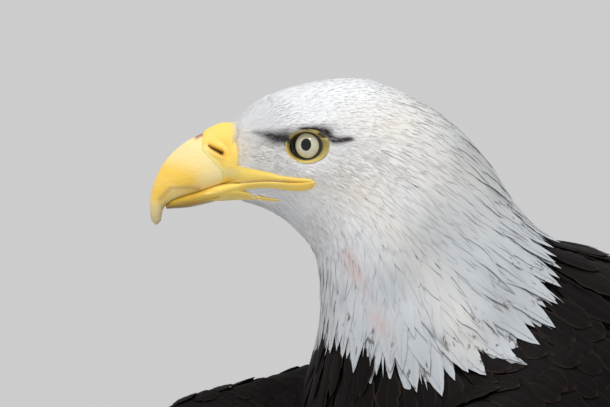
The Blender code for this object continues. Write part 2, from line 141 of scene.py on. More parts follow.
# How the plumage lies on the head and neck. Each row: place back, up and side; lie back, up and side;
# feather length and half width; depth of the coat. All in mm.
HEAD_PLUMAGE = (
    (-36, 16, 4, 1.0, 0.65, 0.10, 4.5, 0.30, 0.7),
    (-30, 21, 0, 1.0, 0.60, 0.00, 6.0, 0.42, 1.2),
    (-20, 26, 0, 1.0, 0.45, 0.00, 7.5, 0.55, 1.8),
    (-8, 31, 0, 1.0, 0.25, 0.00, 9.0, 0.65, 2.2),
    (8, 33, 0, 1.0, 0.05, 0.00, 10.0, 0.80, 2.6),
    (26, 35, 0, 1.0, -0.15, 0.00, 12.0, 0.95, 3.0),
    (42, 31, 0, 0.90, -0.40, 0.00, 15.0, 1.15, 3.4),
    (56, 25, 0, 0.85, -0.55, 0.00, 19.0, 1.40, 4.0),
    (75, 13, 0, 0.78, -0.65, 0.00, 25.0, 1.70, 5.0),
    (95, -9, 0, 0.70, -0.72, 0.00, 30.0, 2.10, 5.5),
    (112, -35, 0, 0.68, -0.74, 0.00, 34.0, 2.50, 6.0),
    (-32, 9, 14, 1.0, 0.30, 0.15, 3.8, 0.16, 0.5),
    (-31, 1, 15, 1.0, 0.02, 0.20, 3.4, 0.13, 0.4),
    (-30, -7, 15, 1.0, -0.20, 0.20, 3.4, 0.13, 0.4),
    (-22, -1, 19, 1.0, -0.12, 0.30, 4.0, 0.14, 0.4),
    (-20, -10, 19, 0.92, -0.42, 0.25, 4.2, 0.16, 0.5),
    (-20, 10, 19, 1.0, 0.12, 0.20, 4.6, 0.24, 0.8),
    (-12, 13, 23, 1.0, 0.08, 0.10, 6.0, 0.34, 1.2),
    (-10, -12, 22, 0.88, -0.48, 0.15, 4.6, 0.18, 0.6),
    (-14, 0, 22, 1.0, -0.10, 0.20, 3.8, 0.14, 0.4),
    (0, 15, 26, 1.0, 0.10, 0.05, 7.0, 0.45, 1.5),
    (0, 24, 20, 1.0, 0.10, 0.00, 9.0, 0.65, 2.2),
    (14, 10, 29, 1.0, -0.08, 0.05, 8.0, 0.45, 1.6),
    (14, 0, 29, 0.95, -0.30, 0.05, 8.0, 0.35, 1.4),
    (8, -11, 29, 0.85, -0.52, 0.05, 7.0, 0.28, 1.2),
    (-2, -13, 27, 0.80, -0.58, 0.10, 5.5, 0.22, 0.8),
    (24, 20, 27, 1.0, -0.12, 0.00, 11.0, 0.70, 2.6),
    (28, -4, 33, 0.90, -0.42, 0.00, 12.0, 0.55, 2.4),
    (22, -18, 33, 0.82, -0.58, 0.00, 12.0, 0.50, 2.4),
    (5, -24, 28, 0.85, -0.52, 0.00, 8.0, 0.35, 1.4),
    (-12, -27, 18, 0.90, -0.40, 0.00, 6.0, 0.25, 0.8),
    (-26, -29, 0, 0.95, -0.30, 0.00, 4.5, 0.18, 0.6),
    (-12, -36, 0, 0.80, -0.60, 0.00, 7.0, 0.35, 1.4),
    (-3, -45, 0, 0.40, -0.90, 0.00, 10.0, 0.55, 2.2),
    (8, -38, 26, 0.62, -0.78, 0.00, 12.0, 0.60, 2.4),
    (2, -58, 0, 0.12, -1.0, 0.00, 17.0, 0.95, 3.4),
    (14, -55, 28, 0.35, -0.94, 0.00, 19.0, 1.00, 3.6),
    (42, 12, 35, 0.86, -0.50, 0.00, 16.0, 0.95, 3.4),
    (42, -14, 37, 0.76, -0.65, 0.00, 18.0, 0.95, 3.4),
    (30, -36, 37, 0.62, -0.78, 0.00, 18.0, 0.95, 3.6),
    (60, -2, 37, 0.80, -0.60, 0.00, 22.0, 1.35, 4.2),
    (55, -32, 40, 0.68, -0.74, 0.00, 24.0, 1.50, 4.6),
    (35, -62, 39, 0.46, -0.88, 0.00, 25.0, 1.60, 4.8),
    (8, -76, 14, 0.08, -1.0, 0.00, 26.0, 1.70, 5.0),
    (20, -84, 36, 0.28, -0.96, 0.00, 30.0, 2.10, 5.4),
    (80, -22, 38, 0.76, -0.65, 0.00, 29.0, 2.00, 5.2),
    (75, -55, 44, 0.66, -0.75, 0.00, 32.0, 2.20, 5.6),
    (50, -86, 46, 0.48, -0.88, 0.00, 34.0, 2.40, 5.8),
    (98, -50, 36, 0.72, -0.69, 0.00, 34.0, 2.40, 6.0),
    (90, -80, 40, 0.64, -0.77, 0.00, 36.0, 2.60, 6.0),
)
# The same for the body, its places in metres in the model's own frame.
BODY_PLUMAGE = (
    (0.000, -0.234, 0.455, 0.00, 0.00, -1.00, 34, 6.5, 7.0),
    (0.000, -0.238, 0.400, 0.00, 0.05, -1.00, 36, 7.5, 7.5),
    (0.000, -0.217, 0.327, 0.00, 0.38, -0.92, 40, 8.5, 7.5),
    (0.000, -0.150, 0.265, 0.00, 0.80, -0.60, 42, 9.5, 7.0),
    (0.000, -0.057, 0.217, 0.00, 0.92, -0.38, 44, 10.0, 6.0),
    (0.000, 0.030, 0.187, 0.00, 0.94, -0.34, 50, 10.5, 5.0),
    (0.000, 0.110, 0.163, 0.00, 0.92, -0.38, 56, 11.0, 3.0),
    (0.065, -0.205, 0.430, 0.00, 0.18, -1.00, 34, 7.5, 7.0),
    (0.075, -0.165, 0.480, 0.10, 0.45, -0.88, 34, 8.5, 6.0),
    (0.000, -0.105, 0.520, 0.00, 0.78, -0.62, 34, 9.5, 6.5),
    (0.000, -0.050, 0.497, 0.00, 0.62, -0.78, 40, 11.0, 6.5),
    (0.050, -0.070, 0.482, 0.04, 0.68, -0.73, 42, 12.0, 6.0),
    (0.000, 0.000, 0.430, 0.00, 0.55, -0.83, 44, 12.0, 6.0),
    (0.000, 0.050, 0.340, 0.00, 0.54, -0.84, 44, 12.0, 5.0),
    (0.000, 0.115, 0.240, 0.00, 0.60, -0.80, 54, 12.0, 3.0),
    (0.085, -0.130, 0.310, 0.00, 0.66, -0.75, 42, 10.0, 5.5),
    (0.100, -0.262, 0.395, 0.00, 0.45, -0.89, 13, 4.2, 1.8),
    (0.103, -0.252, 0.418, 0.00, 0.80, -0.60, 13, 4.2, 1.6),
    (0.099, -0.228, 0.436, 0.00, 0.82, -0.57, 15, 4.8, 1.8),
    (0.112, -0.225, 0.335, 0.00, 0.85, -0.53, 22, 7.0, 2.6),
    (0.094, -0.195, 0.449, 0.00, 0.76, -0.65, 20, 6.2, 2.2),
    (0.092, -0.160, 0.460, 0.00, 0.72, -0.69, 28, 8.5, 3.2),
    (0.125, -0.170, 0.380, 0.00, 0.84, -0.54, 34, 10.0, 4.0),
    (0.118, -0.150, 0.290, 0.00, 0.90, -0.44, 38, 11.0, 4.0),
    (0.085, -0.085, 0.460, 0.00, 0.68, -0.73, 50, 13.5, 4.5),
    (0.112, -0.090, 0.370, 0.00, 0.82, -0.57, 56, 13.5, 4.5),
    (0.108, -0.080, 0.260, 0.00, 0.90, -0.44, 48, 12.0, 4.0),
    (0.070, -0.020, 0.425, 0.00, 0.66, -0.75, 62, 15.0, 4.0),
    (0.095, 0.000, 0.320, 0.00, 0.82, -0.57, 64, 14.0, 4.0),
    (0.088, 0.000, 0.215, 0.00, 0.90, -0.44, 50, 11.0, 3.5),
    (0.092, -0.120, 0.255, 0.00, 0.15, -1.00, 34, 7.5, 4.5),
    (0.055, -0.185, 0.220, 0.00, 0.12, -1.00, 30, 6.5, 4.5),
    (0.090, -0.100, 0.190, 0.00, 0.05, -1.00, 28, 6.0, 4.5),
    (0.060, -0.040, 0.190, 0.00, 0.00, -1.00, 28, 6.0, 4.5),
    (0.064, -0.080, 0.120, 0.00, 0.00, -1.00, 22, 4.5, 3.5),
)
HEAD_SPREAD, BODY_SPREAD = 9.0 * MM, 30.0 * MM
HEAD_THINNER, BODY_THINNER = 0.45, 0.75


def plumage_keys():
    places, lies, sizes, spreads = [], [], [], []
    for b, u, s, lb, lu, ls, *size in HEAD_PLUMAGE:
        for way in ((1, -1) if s else (1,)):
            places.append(head_point(b, u, s * way))
            lies.append(lb * BACK + lu * UP + ls * way * SIDE)
            sizes.append((size[0], size[1], size[2] * HEAD_THINNER))
            spreads.append(HEAD_SPREAD)
    for x, y, z, dx, dy, dz, *size in BODY_PLUMAGE:
        for way in ((1, -1) if x else (1,)):
            places.append((x * way, y, z))
            lies.append((dx * way, dy, dz))
            sizes.append((size[0], size[1], size[2] * BODY_THINNER))
            spreads.append(BODY_SPREAD)
    return np.array(places), np.array(lies), np.array(sizes) * MM, np.array(spreads)


KEYS = plumage_keys()


def plumage(points):
    """The plumage's lie, length, half width and depth at points: a soft mean of the nearest rows."""
    places, lies, sizes, spreads = KEYS
    out_lies, out_sizes = [], []
    for start in range(0, len(points), 20000):
        p = points[start:start + 20000]
        far = ((p ** 2).sum(1)[:, None] - 2 * p @ places.T + (places ** 2).sum(1)) / (2 * spreads ** 2)
        share = np.exp(far.min(1)[:, None] - far)
        share /= share.sum(1)[:, None]
        out_lies.append(share @ lies)
        out_sizes.append(share @ sizes)
    return np.concatenate(out_lies), np.concatenate(out_sizes)


# Where the white ends: how far from between the eyes, in mm, the last white feathers have their roots,
# at each angle, in degrees, down from straight back.
WHITE_ANGLE = (0, 12, 18.6, 24.7, 30.6, 38, 45, 52.5, 62.3, 67.8, 71.8, 78.8, 89, 94.3)
WHITE_REACH = (94, 97, 103, 110, 114, 117, 117, 108, 108, 95, 84, 77, 69, 68)


def white_reach(points):
    """How far inside the white plumage points are, in mm."""
    b, u, s = from_eyes(points).T
    angle = np.degrees(np.arctan2(-u, b))
    return np.interp(angle, WHITE_ANGLE, WHITE_REACH) - np.hypot(b, u)


GAPE_LINE = ((-41, -17.6), (-33.8, -17.3), (-21.8, -16.4), (-13.4, -16.9), (-5, -17.6), (2.0, -18.1))
BROW_SHADE = ((-27, 7.2), (-21, 5.8), (-16, 4.7), (-11, 3.9), (-9, 2.8))
REAR_WIDTH = ((-3, 4, 9, 15, 22), (0.7, 1.1, 2.3, 2.0, 1.2))
WARM_NECK = ((30, -30), (48, -50), (66, -72), (78, -96))
REAR_SHADE = ((-3, 8.6), (4, 8.9), (9.5, 6.9), (13.2, 3.2), (16.0, 2.9), (22.0, 3.6))


def marks(points):
    """The markings and painted shades at points, each about 0 to 1. Skin and feathers both carry them."""
    b, u, s = from_eyes(points).T
    side = smooth(np.abs(s), 6, 14)
    warm = 0.55 * bell(b, 40, 28) * bell(u, 12, 14) + 0.5 * bell(b, 18, 20) * bell(u, -22, 12)
    warm += 0.35 * bell(b, 70, 30) * bell(u, -15, 25)
    warm += 0.35 * bell(near_line(b, u, WARM_NECK), 0, 11)
    yellow = side * np.exp(-np.clip(b + 36, 0, None) / 5.0) * bell(u, -4, 12)
    yellow += side * 0.5 * bell(near_line(b, u, GAPE_LINE), 0, 3.2)
    # soot: dark bristles before the eye, with painted shade under the brow ledge and behind the eye above the lids
    brow_wide = 1.1 + 0.15 * np.clip(b + 26, 0, 16)
    before_eye = bell(near_line(b, u, BROW_SHADE), 0, brow_wide) * smooth(b, -34, -15)
    behind_eye = bell(near_line(b, u, REAR_SHADE), 0, np.interp(b, *REAR_WIDTH))
    soot = side * np.maximum(before_eye, behind_eye)
    grey = side * bell(b, -18, 17) * bell(u, -4, 11)
    streak = side * bell(b, 36, 20) * bell(u, -9, 15) + 0.8 * side * bell(b, 8, 14) * bell(u, -41, 10)
    streak = streak + 0.5 * side * bell(b, 14, 14) * bell(u, -14, 14)
    dark = smooth(-white_reach(points), -4, 2)
    # cool: painted shade that greys the white feathers more the farther they lie from the eye, down the neck
    cool = smooth(np.hypot(b, u), 36, 84)
    stain = 0.4 * (s > 0) * bell(near_line(b, u, ((20, -54), (28, -72), (41, -98))), 0, 3.6)
    border = 1 - smooth(white_reach(points), -8, 12)
    return {"warm": warm, "yellow": yellow, "soot": soot, "grey": grey, "streak": streak, "dark": dark,
            "border": border, "cool": cool, "stain": stain}


# ---------------------------------------------------------------- shader maths

def paint(red, green, blue):
    """A colour given as a screen shows it, 0 to 255, in the linear values that shaders use."""
    return tuple((c / 255 / 12.92) if c <= 10 else ((c / 255 + 0.055) / 1.055) ** 2.4
                 for c in (red, green, blue)) + (1.0,)


class Shade:
    """A shader socket that takes part in sums. Each sum adds its Math node."""

    def __init__(self, finish, socket):
        self.finish, self.socket = finish, socket

    def sum(self, operation, *others):
        return self.finish.node("ShaderNodeMath", {"operation": operation},
                                dict(enumerate((self,) + others)))

    def __add__(self, other): return self.sum("ADD", other)
    def __radd__(self, other): return self.sum("ADD", other)
    def __mul__(self, other): return self.sum("MULTIPLY", other)
    def __rmul__(self, other): return self.sum("MULTIPLY", other)
    def __sub__(self, other): return self.sum("SUBTRACT", other)
    def __rsub__(self, other): return (self * -1.0) + other
    def __truediv__(self, other): return self.sum("DIVIDE", other)
    def __pow__(self, other): return self.sum("POWER", other)
    def __neg__(self): return self * -1.0

    def size(self): return self.sum("ABSOLUTE")
    def most(self, other): return self.sum("MAXIMUM", other)

    def step(self, low, high):
        """0 below low, 1 above high, and smooth between."""
        return self.finish.node("ShaderNodeMapRange", {"interpolation_type": "SMOOTHSTEP"},
                                {0: self, 1: low, 2: high})


class Finish:
    """A material on one Principled shader, whose varying sockets are fed by expressions."""

    def __init__(self, name, **constants):
        self.material = bpy.data.materials.new(name)
        self.material.use_nodes = True
        self.tree = self.material.node_tree
        self.shader = self.tree.nodes["Principled BSDF"]
        for key, value in constants.items():
            self.shader.inputs[key.replace("_", " ")].default_value = value

    def node(self, kind, settings=None, sockets=None, output=0):
        """A new node: its settings are set first, then the values or links of its sockets."""
        made = self.tree.nodes.new(kind)
        for key, value in (settings or {}).items():
            setattr(made, key, value)
        for key, value in (sockets or {}).items():
            if isinstance(value, Shade):
                self.tree.links.new(value.socket, made.inputs[key])
            else:
                made.inputs[key].default_value = value
        return Shade(self, made.outputs[output])

    def place(self):
        return self.node("ShaderNodeTexCoord", output="Object")

    def mark(self, name):
        return self.node("ShaderNodeAttribute", {"attribute_name": name}, output="Fac")

    def axes(self, vector=None):
        split = self.node("ShaderNodeSeparateXYZ", sockets={0: vector or self.place()})
        outputs = split.socket.node.outputs
        return [Shade(self, outputs[i]) for i in range(3)]

    def noise(self, scale, detail, vector=None, stretch=None):
        vector = vector or self.place()
        if stretch:
            vector = self.node("ShaderNodeMapping", sockets={"Vector": vector, "Scale": stretch})
        return self.node("ShaderNodeTexNoise", sockets={"Vector": vector, "Scale": scale, "Detail": detail})

    def cells(self, scale, feature="DISTANCE_TO_EDGE"):
        return self.node("ShaderNodeTexVoronoi", {"feature": feature}, {"Vector": self.place(), "Scale": scale})

    def mix(self, a, b, share):
        return self.node("ShaderNodeMix", {"data_type": "RGBA"}, {0: share, 6: a, 7: b}, output=2)

    def feed(self, colour, roughness=None, height=None, distance=None):
        """Links the varying values to the shader, with the height in metres as bump, and returns the material."""
        for key, value in (("Base Color", colour), ("Roughness", roughness)):
            if isinstance(value, Shade):
                self.tree.links.new(value.socket, self.shader.inputs[key])
        if height is not None:
            bump = self.node("ShaderNodeBump", sockets={"Strength": 1.0, "Distance": distance, "Height": height})
            self.tree.links.new(bump.socket, self.shader.inputs["Normal"])
        return self.material


# ---------------------------------------------------------------- making meshes

def loft(rings):
    """A closed form through rings of equally many points, extruded from ring to ring."""
    shape = bmesh.new()
    count = len(rings[0])
    bmesh.ops.create_circle(shape, segments=count, radius=1.0)
    shape.verts.ensure_lookup_table()
    loop = [shape.verts[0]]
    while len(loop) < count:
        loop.append(next(e.other_vert(loop[-1]) for e in loop[-1].link_edges
                         if e.other_vert(loop[-1]) not in loop[-2:]))
    for vert, point in zip(loop, rings[0]):
        vert.co = point
    edges = list(shape.edges)
    for ring in rings[1:]:
        grown = bmesh.ops.extrude_edge_only(shape, edges=edges)["geom"]
        new = {g for g in grown if isinstance(g, bmesh.types.BMVert)}
        loop = [next(e.other_vert(v) for e in v.link_edges if e.other_vert(v) in new) for v in loop]
        for vert, point in zip(loop, ring):
            vert.co = point
        edges = [g for g in grown if isinstance(g, bmesh.types.BMEdge) and g.verts[0] in new and g.verts[1] in new]
    bmesh.ops.holes_fill(shape, edges=[e for e in shape.edges if e.is_boundary], sides=0)
    bmesh.ops.recalc_face_normals(shape, faces=shape.faces)
    return shape


def keep(name, shape, material, nodes=(), body="root"):
    """Makes a piece of a bmesh or a mesh, and hides the CAD nodes that it stands in for."""
    if isinstance(shape, bmesh.types.BMesh):
        mesh = bpy.data.meshes.new(name)
        shape.to_mesh(mesh)
        shape.free()
    else:
        mesh = shape
        mesh.name = name
    mesh.shade_smooth()
    piece = bpy.data.objects.new(name, mesh)
    mesh.materials.clear()
    mesh.materials.append(material)
    bpy.context.scene.collection.objects.link(piece)
    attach(piece, body)
    if nodes:
        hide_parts(*nodes)
    PIECES[name] = piece
    return piece


def points_of(mesh):
    points = np.empty(len(mesh.vertices) * 3, np.float32)
    mesh.vertices.foreach_get("co", points)
    return points.reshape(-1, 3).astype(float)


def set_points(mesh, points):
    mesh.vertices.foreach_set("co", np.asarray(points, np.float32).ravel())
    mesh.update()


def set_mark(mesh, name, values):
    layer = mesh.attributes.new(name, "FLOAT", "POINT")
    layer.data.foreach_set("value", np.asarray(values, np.float32))


def relax(points, edges, rounds, share):
    """Draws each point toward the mean of its neighbours. share may differ from point to point."""
    a, b = edges.T
    count = len(points)
    degree = np.maximum(np.bincount(a, minlength=count) + np.bincount(b, minlength=count), 1)
    for _ in range(rounds):
        mean = np.empty_like(points)
        for axis in range(3):
            column = points[:, axis]
            mean[:, axis] = (np.bincount(a, column[b], count) + np.bincount(b, column[a], count)) / degree
        points = points + (mean - points) * share
    return points


# ---------------------------------------------------------------- the skin

FLESH = ("head", "neck", "breast", "trunk", "wing_left", "wing_right", "thigh_left", "thigh_right")
SURFACE = FLESH + ("flight_feathers_left", "flight_feathers_right", "tail")
FINE_HEAD, FINER_BY = 52.0, 14.0  # mm round the face where the skin is divided once, and how much nearer twice
THIN_DEPTH = 0.8 * MM  # of the coat over the flight feathers and the tail
TAIL_ROOT_Y = 0.075


def merged_copy(nodes):
    """The meshes of these nodes in one mesh, each a copy that is merged first."""
    whole = bmesh.new()
    for name in nodes:
        whole.from_mesh(bpy.data.objects[name].data)
    bmesh.ops.remove_doubles(whole, verts=whole.verts, dist=1e-6)
    mesh = bpy.data.meshes.new("copy")
    whole.to_mesh(mesh)
    whole.free()
    return mesh


def remeshed(mesh, voxel):
    carrier = bpy.data.objects.new("carrier", mesh)
    bpy.context.scene.collection.objects.link(carrier)
    step = carrier.modifiers.new("one surface", "REMESH")
    step.mode, step.voxel_size = "VOXEL", voxel
    graph = bpy.context.evaluated_depsgraph_get()
    made = bpy.data.meshes.new_from_object(carrier.evaluated_get(graph))
    bpy.data.objects.remove(carrier, do_unlink=True)
    return made


def sculpt(points):
    """How far the face's forms stand out from the skin, in mm: brow, eye hollow, cheek and lores."""
    b, u, s = from_eyes(points).T
    side = smooth(np.abs(s), 8, 16)
    line = 8.6 + 0.06 * b - 0.006 * (b - 2) ** 2 * (b < 2)
    brow = 2.6 * bell(u, line + 2.2, 3.4) * smooth(b, -24, -12) * (1 - smooth(b, 8, 20))
    under = -1.8 * bell(u, line - 3.4, 2.2) * smooth(b, -26, -16) * (1 - smooth(b, 4, 12))
    hollow = -1.2 * bell(b, -14, 7) * bell(u, 1, 5)
    cheek = 0.8 * bell(b, 2, 12) * bell(u, -13, 4)
    socket = -7.0 * (1 - smooth(np.hypot((b + 0.3) / 11.2, (u - 0.1) / 8.4), 0.80, 1.0))
    return side * (brow + under + hollow + cheek + socket)


class Skin:
    """The bird's one skin: its mesh as arrays, and the search tree that feathers are laid on."""

    def __init__(self, mesh):
        self.mesh = mesh
        self.points = points_of(mesh)
        mesh.calc_loop_triangles()
        tri = np.empty(len(mesh.loop_triangles) * 3, np.int32)
        mesh.loop_triangles.foreach_get("vertices", tri)
        self.tri = tri.reshape(-1, 3)
        a, b, c = (self.points[self.tri[:, i]] for i in range(3))
        cross = np.cross(b - a, c - a)
        self.area = np.linalg.norm(cross, axis=1) / 2
        normals = np.zeros_like(self.points)
        for i in range(3):
            for axis in range(3):
                normals[:, axis] += np.bincount(self.tri[:, i], cross[:, axis], len(self.points))
        self.normals = normals / np.maximum(np.linalg.norm(normals, axis=1), 1e-12)[:, None]
        self.face_normals = self.normals[self.tri].mean(1)
        self.tree = BVHTree.FromPolygons(self.points.tolist(), self.tri.tolist())
        self.labels = np.zeros(len(self.points), int)

    def nearest(self, points):
        """The nearest places on the skin, and its smooth normals there."""
        find = self.tree.find_nearest
        places, index = np.empty_like(points), np.empty(len(points), int)
        for i, point in enumerate(points):
            place, _, face, _ = find(point)
            places[i], index[i] = place, face
        normals = self.face_normals[index]
        return places, normals / np.linalg.norm(normals, axis=1)[:, None]

    def side_at(self, back, up, way):
        """Where a line from the side meets the skin: mm to the side, seen in the head's measure."""
        hit = self.tree.ray_cast(head_point(back, up, 80 * way), -SIDE * way)[0]
        return float(from_eyes([hit])[0][2]) * way if hit else 12.0


SKIN = {}


def of_nodes(labels, *wanted):
    """Which labels stand for these CAD nodes."""
    return np.isin(labels, [SURFACE.index(name) for name in wanted])


def nearest_node(points):
    """Which CAD node's surface each point is nearest, as its place in SURFACE."""
    best, label = np.full(len(points), 1e9), np.zeros(len(points), int)
    for index, name in enumerate(SURFACE):
        mesh = bpy.data.objects[name].data
        tree = BVHTree.FromPolygons([v.co for v in mesh.vertices], [p.vertices for p in mesh.polygons])
        low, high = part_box(name)
        inside = np.nonzero(((points > np.array(low) - 4 * MM) & (points < np.array(high) + 4 * MM)).all(1))[0]
        for i in inside:
            far = tree.find_nearest(points[i], 6 * MM)[3]
            if far is not None and far < best[i]:
                best[i], label[i] = far, index
    return label


def make_skin(voxel, colours):
    mesh = remeshed(merged_copy(SURFACE + ("eye_left", "eye_right")), voxel)
    fine = bmesh.new()
    fine.from_mesh(mesh)
    for reach in (FINE_HEAD, FINE_HEAD - FINER_BY):
        heads = [f for f in fine.faces if (f.calc_center_median() - head_point(-2, -4, 0)).length < reach * MM]
        edges = list({e for f in heads for e in f.edges})
        bmesh.ops.subdivide_edges(fine, edges=edges, cuts=1, use_grid_fill=True)
    bmesh.ops.triangulate(fine, faces=[f for f in fine.faces if len(f.verts) > 4])
    fine.to_mesh(mesh)
    fine.free()
    points = points_of(mesh)
    labels = nearest_node(points)
    edges = np.empty(len(mesh.edges) * 2, np.int32)
    mesh.edges.foreach_get("vertices", edges)
    edges = edges.reshape(-1, 2)
    b, u, s = from_eyes(points).T
    away = smooth(np.sqrt((b + 2) ** 2 + (u + 4) ** 2 + s ** 2), 40, 95)
    points = relax(points, edges, 36, (0.16 + 0.34 * away)[:, None])
    set_points(mesh, points)
    skin = Skin(mesh)
    depth = np.where(labels >= len(FLESH), THIN_DEPTH, plumage(points)[1][:, 2])
    points = points - skin.normals * depth[:, None]
    points = relax(points, edges, 6, (0.1 + 0.4 * away)[:, None])
    points = points + skin.normals * (sculpt(points) * MM)[:, None]
    set_points(mesh, points)
    SKIN["skin"] = Skin(mesh)
    SKIN["skin"].labels = labels
    made = marks(points)
    white_end = of_nodes(labels, "tail") | (of_nodes(labels, "trunk") & (points[:, 1] > TAIL_ROOT_Y))
    made["dark"] = np.where(white_end, 0.0, made["dark"])
    for name, values in made.items():
        set_mark(mesh, name, values)

    skin = Finish("skin_and_down", Roughness=0.8, Specular_IOR_Level=0.15)
    fluff = skin.noise(900, 3)
    colour = skin.mix(colours["down_white"], colours["down_dark"], skin.mark("dark"))
    colour = skin.mix(colour, colours["yellow_skin"], skin.mark("yellow") * 0.5)
    # Dark bristles' colour with painted shade under the brow and behind the eye
    colour = skin.mix(colour, colours["soot"], skin.mark("soot") * 0.8)
    keep("skin", mesh, skin.feed(colour, height=fluff, distance=0.0004), FLESH)


# ---------------------------------------------------------------- growing feathers

TRIES_PER_ROOT = 2.6
NEIGHBOURS = list(itertools.product((-1, 0, 1), repeat=3))


def scatter(skin, wanted, spacing, seed):
    """Roots on the skin where wanted, no two of them nearer than the spacing at that place."""
    rng = np.random.default_rng(seed)
    centres = skin.points[skin.tri].mean(1)
    open_to = np.asarray(wanted(centres, skin.labels[skin.tri[:, 0]]), float)
    room = spacing(centres)
    share = skin.area * open_to / room ** 2
    tries = int(share.sum() * TRIES_PER_ROOT)
    picked = rng.choice(len(share), tries, p=share / share.sum())
    r1, r2 = rng.random(tries), rng.random(tries)
    flip = r1 + r2 > 1
    r1[flip], r2[flip] = 1 - r1[flip], 1 - r2[flip]
    a, b, c = (skin.points[skin.tri[picked, i]] for i in range(3))
    points = a + (b - a) * r1[:, None] + (c - a) * r2[:, None]
    room = room[picked]
    cell = room.max()
    grid, chosen = {}, []
    keys = np.floor(points / cell).astype(int).tolist()
    listed, rooms = points.tolist(), room.tolist()
    for i, (x, y, z) in enumerate(keys):
        px, py, pz = listed[i]
        least = rooms[i] ** 2
        if not any((px - qx) ** 2 + (py - qy) ** 2 + (pz - qz) ** 2 < least
                   for dx, dy, dz in NEIGHBOURS for qx, qy, qz in grid.get((x + dx, y + dy, z + dz), ())):
            grid.setdefault((x, y, z), []).append((px, py, pz))
            chosen.append(i)
    return points[chosen]


def unit(vectors):
    return vectors / np.maximum(np.linalg.norm(vectors, axis=-1, keepdims=True), 1e-12)


def spines(skin, roots, lengths, depths, rings, rise, yaw, loose, rng):
    """Lines from the roots along the plumage's lie, lifted off the skin to their place in the coat."""
    places, normals = skin.nearest(roots)
    line, over = [], []
    turn = rng.normal(0, yaw, len(roots))[:, None]
    lift_tip = depths * rise * rng.uniform(1 - loose, 1 + 0.6 * loose, len(roots))
    for k in range(rings):
        t = k / (rings - 1)
        way = plumage(places)[0]
        way = unit(way - normals * (way * normals).sum(1)[:, None])
        way = unit(way + np.cross(normals, way) * turn)
        height = lift_tip * t ** 0.55 - 0.25 * MM * (1 - t)
        line.append(places + normals * height[:, None])
        over.append(normals)
        if k < rings - 1:
            places, normals = skin.nearest(places + way * (lengths / (rings - 1))[:, None])
    return np.stack(line, 1), np.stack(over, 1)


def vane_shape(rings, widest, blunt):
    """Half width along a feather as a share of its greatest: widest at one place, blunt or pointed."""
    t = np.linspace(0, 1, rings)
    toward = np.clip(t / widest, 0, 1) ** 0.6
    past = np.clip((t - widest) / (1 - widest), 0, 1)
    return np.maximum(toward * (1 - past ** blunt) ** (0.5 + 0.5 / blunt), 0.05)


def vanes(line, over, half_widths, shape, columns, camber, ragged, rng):
    """Points of closed thin vanes round the lines: one ring of columns points at each step."""
    count, rings, _ = line.shape
    ahead = unit(np.gradient(line, axis=1))
    across = unit(np.cross(over, ahead))
    over = np.cross(ahead, across)
    width = half_widths[:, None] * shape[None]
    edge = np.linspace(1, -1, columns)
    rough = rng.uniform(1 - ragged, 1 + 0.3 * ragged, (count, rings, 2))
    scale = np.where(edge[None, None] > 0, rough[..., :1], rough[..., 1:])
    off = edge[None, None] * width[..., None] * scale
    rise = camber * (1 - edge ** 2)[None, None] * width[..., None]
    points = (line[:, :, None] + across[:, :, None] * off[..., None] + over[:, :, None] * rise[..., None])
    return points, np.broadcast_to(edge, (count, rings, columns))


def joined(name, vane_sets, roots_uv):
    """One mesh of many vanes, with each point's place along and across its vane and its own tone."""
    all_points, loops, totals, along_all, across_all, tone_all, uv_all = [], [], [], [], [], [], []
    start = 0
    for (points, edge, tone), uv in zip(vane_sets, roots_uv):
        count, rings, columns, _ = points.shape
        body = points[:, :-1].reshape(count, -1, 3)
        tip = points[:, -1].mean(1, keepdims=True)
        block = np.concatenate([body, tip], 1)
        size = block.shape[1]
        first = start + np.arange(count)[:, None] * size
        i = np.arange(columns)
        j = (i + 1) % columns
        quads = np.concatenate([
            np.stack([k * columns + i, k * columns + j, (k + 1) * columns + j, (k + 1) * columns + i], 1)
            for k in range(rings - 2)])
        last = (rings - 2) * columns
        tips = np.stack([last + i, last + j, np.full(columns, size - 1)], 1)
        caps = np.array([[0, k + 1, k] for k in range(1, columns - 1)])
        for faces in (quads, np.concatenate([tips, caps])):
            loops.append((first[:, :, None] + faces[None]).reshape(-1))
            totals.append(np.full(count * len(faces), faces.shape[1]))
        t = np.linspace(0, 1, rings)
        along = np.concatenate([np.repeat(t[:-1], columns), [1.0]])
        sides = np.concatenate([np.tile(edge[0, 0], rings - 1), [0.0]])
        all_points.append(block.reshape(-1, 3))
        along_all.append(np.tile(along, count))
        across_all.append(np.tile(sides, count))
        tone_all.append(np.repeat(tone, size))
        patch = np.stack([sides, 2 * along - 1], 1) * 0.0015
        uv_all.append((uv[:, None] + patch[None]).reshape(-1, 2))
        start += count * size
    points, loops, totals = np.concatenate(all_points), np.concatenate(loops), np.concatenate(totals)
    mesh = bpy.data.meshes.new(name)
    mesh.vertices.add(len(points))
    mesh.vertices.foreach_set("co", points.astype(np.float32).ravel())
    mesh.loops.add(len(loops))
    mesh.loops.foreach_set("vertex_index", loops.astype(np.int32))
    mesh.polygons.add(len(totals))
    mesh.polygons.foreach_set("loop_start", (np.cumsum(totals) - totals).astype(np.int32))
    mesh.update(calc_edges=True)
    along, across = np.concatenate(along_all), np.concatenate(across_all)
    ends = np.empty(len(mesh.edges) * 2, np.int32)
    mesh.edges.foreach_get("vertices", ends)
    a, b = ends.reshape(-1, 2).T
    rim = (np.abs(across[a]) == 1) & ((across[a] == across[b]) | (along[b] == 1))
    rim |= (np.abs(across[b]) == 1) & (along[a] == 1)
    mesh.attributes.new("sharp_edge", "BOOLEAN", "EDGE").data.foreach_set("value", rim)
    set_mark(mesh, "along", along)
    set_mark(mesh, "across", across)
    set_mark(mesh, "tone", np.concatenate(tone_all))
    uv = np.concatenate(uv_all)[loops]
    mesh.uv_layers.new(name="OFBake").data.foreach_set("uv", uv.astype(np.float32).ravel())
    for key, values in marks(points).items():
        set_mark(mesh, key, values)
    return mesh


